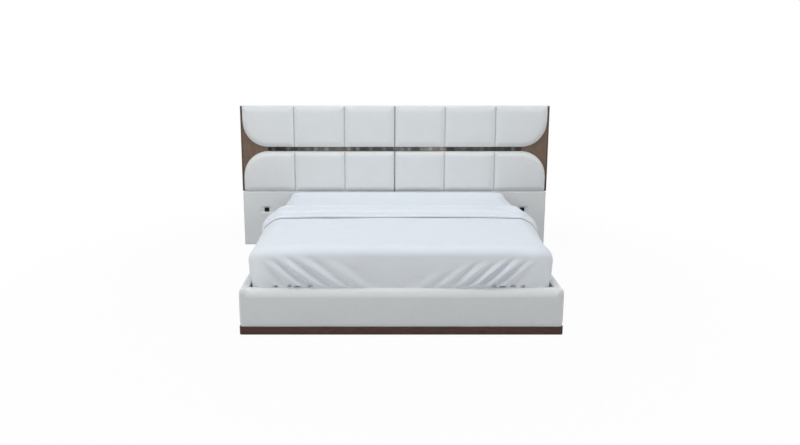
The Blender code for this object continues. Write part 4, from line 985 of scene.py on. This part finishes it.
def build_band():
    """The head end of the duvet, turned back over its top and hanging at both sides."""
    head_profile = duvet_profile(HEAD_FULLNESS, HEAD_SHOULDER_WIDTH)
    one_side = [(FLAT_HALF + outset, height) for outset, height in head_profile[::-1]
                if height > BAND_LOWEST]
    for share in parts(60)[1:]:
        x = FLAT_HALF * (1 - share)
        puff = DUVET_PUFF * smooth((FLAT_HALF + PUFF_BEYOND - x) / PUFF_RUN)
        one_side.append((x, DUVET_TOP + puff))
    path = np.array([(-x, z) for x, z in one_side] + one_side[-2::-1])
    across, up = outward(path)
    travelled = np.concatenate([[0], np.cumsum(np.hypot(*np.diff(path, axis=0).T))])
    travelled -= travelled[-1] / 2
    outline = band_outline(80)
    head = max(y for y, _ in outline)
    free = min(y for y, _ in outline)
    sections = []
    for n, (x, z) in enumerate(path):
        from_end = min(n, len(path) - 1 - n) / 6
        tuck = sqrt(max(1 - (1 - min(from_end, 1)) ** 2, 0.02))
        hanging = smooth((abs(x) - FLAT_HALF) / SHOULDER_WIDTH)
        flatter_edge = 0.8 * smooth((DUVET_TOP - z - 0.045) / 0.04)
        thinner = 1 - 0.40 * smooth((DUVET_TOP + 0.003 - z) / 0.03)
        wander = BAND_WANDER * drift(travelled[n], 0.0, 0.9, 52)
        section = []
        for y, lift in outline:
            share = (y - free) / (head - free)
            top_share = smooth((lift - 0.4 * BAND_EDGE) / (0.4 * BAND_EDGE))
            between_edges = smooth(share / 0.10) * smooth((1 - share) / 0.10)
            lean = BAND_LEAN * drift(travelled[n], y * 3, 0.5, 51)
            crease = crease_depth(travelled[n], share) * between_edges
            fuller = BAND_SIDE_BULGE * hanging * sin(pi * min(share / 1.4 + 0.12, 1))
            flat = (1 - flatter_edge * (1 - smooth(share / 0.35))) * thinner
            lifted = (lift - BAND_LIFT + fuller * top_share) * tuck * flat
            lifted += top_share * (lean - crease) + BAND_LIFT
            section.append((
                x + across[n] * lifted + head_spread(x, y, z), y + wander * (1 - share), z + up[n] * lifted,
            ))
        sections.append(section)
    loft_piece("duvet_turned_back_end", sections, "cotton", "duvet", sharp=None)


# Small pieces

def rounded_bar(name, node, slot, segments=4, crown=0.0, radius=0.0035):
    """A board or bar in a node's box, with its arrises rounded off."""
    low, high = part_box(node)
    bm = bmesh.new()
    bmesh.ops.create_cube(bm, size=1)
    bmesh.ops.scale(bm, vec=high - low, verts=bm.verts)
    bmesh.ops.translate(bm, vec=(low + high) / 2, verts=bm.verts)
    bmesh.ops.bevel(bm, geom=bm.edges, offset=radius, segments=segments, affect="EDGES")
    for vert in bm.verts:
        if vert.co.z > high.z - radius / 4:
            share = (vert.co.y - low.y) / (high.y - low.y)
            vert.co.z += crown * sin(pi * share)
    points = [tuple(vert.co) for vert in bm.verts]
    faces = [tuple(vert.index for vert in face.verts) for face in bm.faces]
    bm.free()
    piece(name, points, faces, slot, node, sharp=35)


def build_socket(word):
    """A flush plate with a rounded rim and a recessed well, with its body behind it."""
    low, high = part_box(f"power_socket_{word}")
    centre_x = (low.x + high.x) / 2
    centre_z = (low.z + high.z) / 2
    half_x = (high.x - low.x) / 2
    half_z = (high.z - low.z) / 2
    body_inset, _, body_corner = SOCKET_RINGS[-1]
    rings = []
    for inset, depth, radius in (*SOCKET_RINGS, (body_inset, high.y - low.y, body_corner)):
        ring = []
        for quarter, (sign_x, sign_z) in enumerate(((1, 1), (-1, 1), (-1, -1), (1, -1))):
            for share in parts(4):
                angle = QUARTER_TURN * (quarter + share)
                ring.append((
                    centre_x + sign_x * (half_x - inset - radius) + radius * cos(angle),
                    low.y + depth,
                    centre_z + sign_z * (half_z - inset - radius) + radius * sin(angle),
                ))
        rings.append(ring)
    loft_piece(f"socket_{word}", rings, "black_plastic", f"power_socket_{word}", sharp=40)


# Stage

def white_studio_floor():
    """Matt white paint: it takes a faint shadow near the bed, and turns into plain white further away."""
    material = bpy.data.materials.new("white_studio_floor")
    material.use_nodes = True
    tree = material.node_tree
    tree.nodes.clear()
    ray = add(tree, "LightPath")
    matt = add(tree, "BsdfDiffuse", {"Color": "#C4C4C4"})
    glow = add(tree, "Emission", {"Color": "#FFFFFF"})
    place = add(tree, "TexCoord").outputs["Object"]
    distance = add(tree, "VectorMath", {0: place}, operation="LENGTH")
    far = add(tree, "MapRange", {"Value": distance, 1: 1.6, 2: 4.0, 3: 0.965, 4: 1.0},
              interpolation_type="SMOOTHSTEP")
    share = add(tree, "Math", {0: ray.outputs["Is Camera Ray"], 1: far}, operation="MULTIPLY")
    mixed = add(tree, "MixShader", {0: share, 1: matt, 2: glow})
    add(tree, "OutputMaterial", {"Surface": mixed})
    return material


def build_floor():
    """The floor, a hair below the bed's lowest point."""
    reach = 9.0
    sink = 0.0005
    mesh = bpy.data.meshes.new("studio_floor")
    corners = [(x * reach, y * reach, 0) for x, y in ((-1, -1), (1, -1), (1, 1), (-1, 1))]
    mesh.from_pydata(corners, [], [(0, 1, 2, 3)])
    mesh.materials.append(white_studio_floor())
    placed("studio_floor", mesh, (0, 0, -sink))


def build_room():
    """An even room: plain white where it is seen or mirrored, and a dim light from all round elsewhere."""
    world = bpy.data.worlds.new("white_room")
    world.use_nodes = True
    tree = world.node_tree
    tree.nodes.clear()
    ray = add(tree, "LightPath")
    seen = ray.outputs["Is Camera Ray"]
    for kind in ("Is Glossy Ray", "Is Transmission Ray"):
        seen = add(tree, "Math", {0: seen, 1: ray.outputs[kind]}, operation="MAXIMUM")
    strength = add(tree, "MapRange", {"Value": seen, 3: 0.165, 4: 1.0})
    backdrop = add(tree, "Background", {"Color": "#FFFFFF", "Strength": strength})
    add(tree, "OutputWorld", {"Surface": backdrop})
    bpy.context.scene.world = world


def build_lamps():
    """Soft light from above, from the front and from both sides."""
    lamps = (
        ("ceiling_softbox", (0, -0.4, 5.2), (0, 0, 0), 3.2, 151, (0.90, 0.95, 1.0)),
        ("front_softbox", (0, -6.0, 1.6), (85, 0, 0), 3.0, 62, (1.0, 0.99, 0.97)),
        ("left_softbox", (-4.0, -2.0, 2.4), (60, 0, -63), 2.5, 76, (1.0, 0.995, 0.98)),
        ("right_softbox", (4.0, -2.0, 2.4), (60, 0, 63), 2.5, 54, (1.0, 0.995, 0.98)),
    )
    for name, place, turn, size, power, colour in lamps:
        lamp = bpy.data.lights.new(name, "AREA")
        lamp.size = size
        lamp.energy = power
        lamp.color = colour
        placed(name, lamp, place, turn)


def build_camera():
    """The photograph's view."""
    camera = bpy.data.cameras.new("camera")
    camera.sensor_width = 36
    camera.lens = FOCAL_PIXELS / PHOTO_WIDTH * camera.sensor_width
    camera.shift_x = (PHOTO_CENTRE[0] - VIEW_CENTRE[0]) / PHOTO_WIDTH
    camera.shift_y = (VIEW_CENTRE[1] - PHOTO_CENTRE[1]) / PHOTO_WIDTH
    place = (CAMERA_ACROSS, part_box("foot_rail_cover")[0].y - CAMERA_DISTANCE, CAMERA_HEIGHT)
    bpy.context.scene.camera = placed("camera", camera, place, (90 - CAMERA_TILT, 0, 0))


finish_nodes()
pads = [(row, word, side) for row in ("upper", "lower") for word, side in SIDES]
for number, (row, word, side) in enumerate(pads):
    build_pad(row, word, side, 1 + number)
build_rails()
for number, (word, side) in enumerate(SIDES):
    build_lower_panel(word, side, 1 + len(pads) + number)
build_mattress()
build_sheet()
build_duvet()
build_band()
for word, _ in SIDES:
    build_socket(word)
rounded_bar("leather_top_cap", "top_cap", "leather", crown=0.001)
rounded_bar("mirror_strip_glass", "mirror_strip", "bronze_mirror", segments=3)
build_floor()
build_room()
build_lamps()
build_camera()
bpy.context.scene.view_settings.view_transform = "Standard"
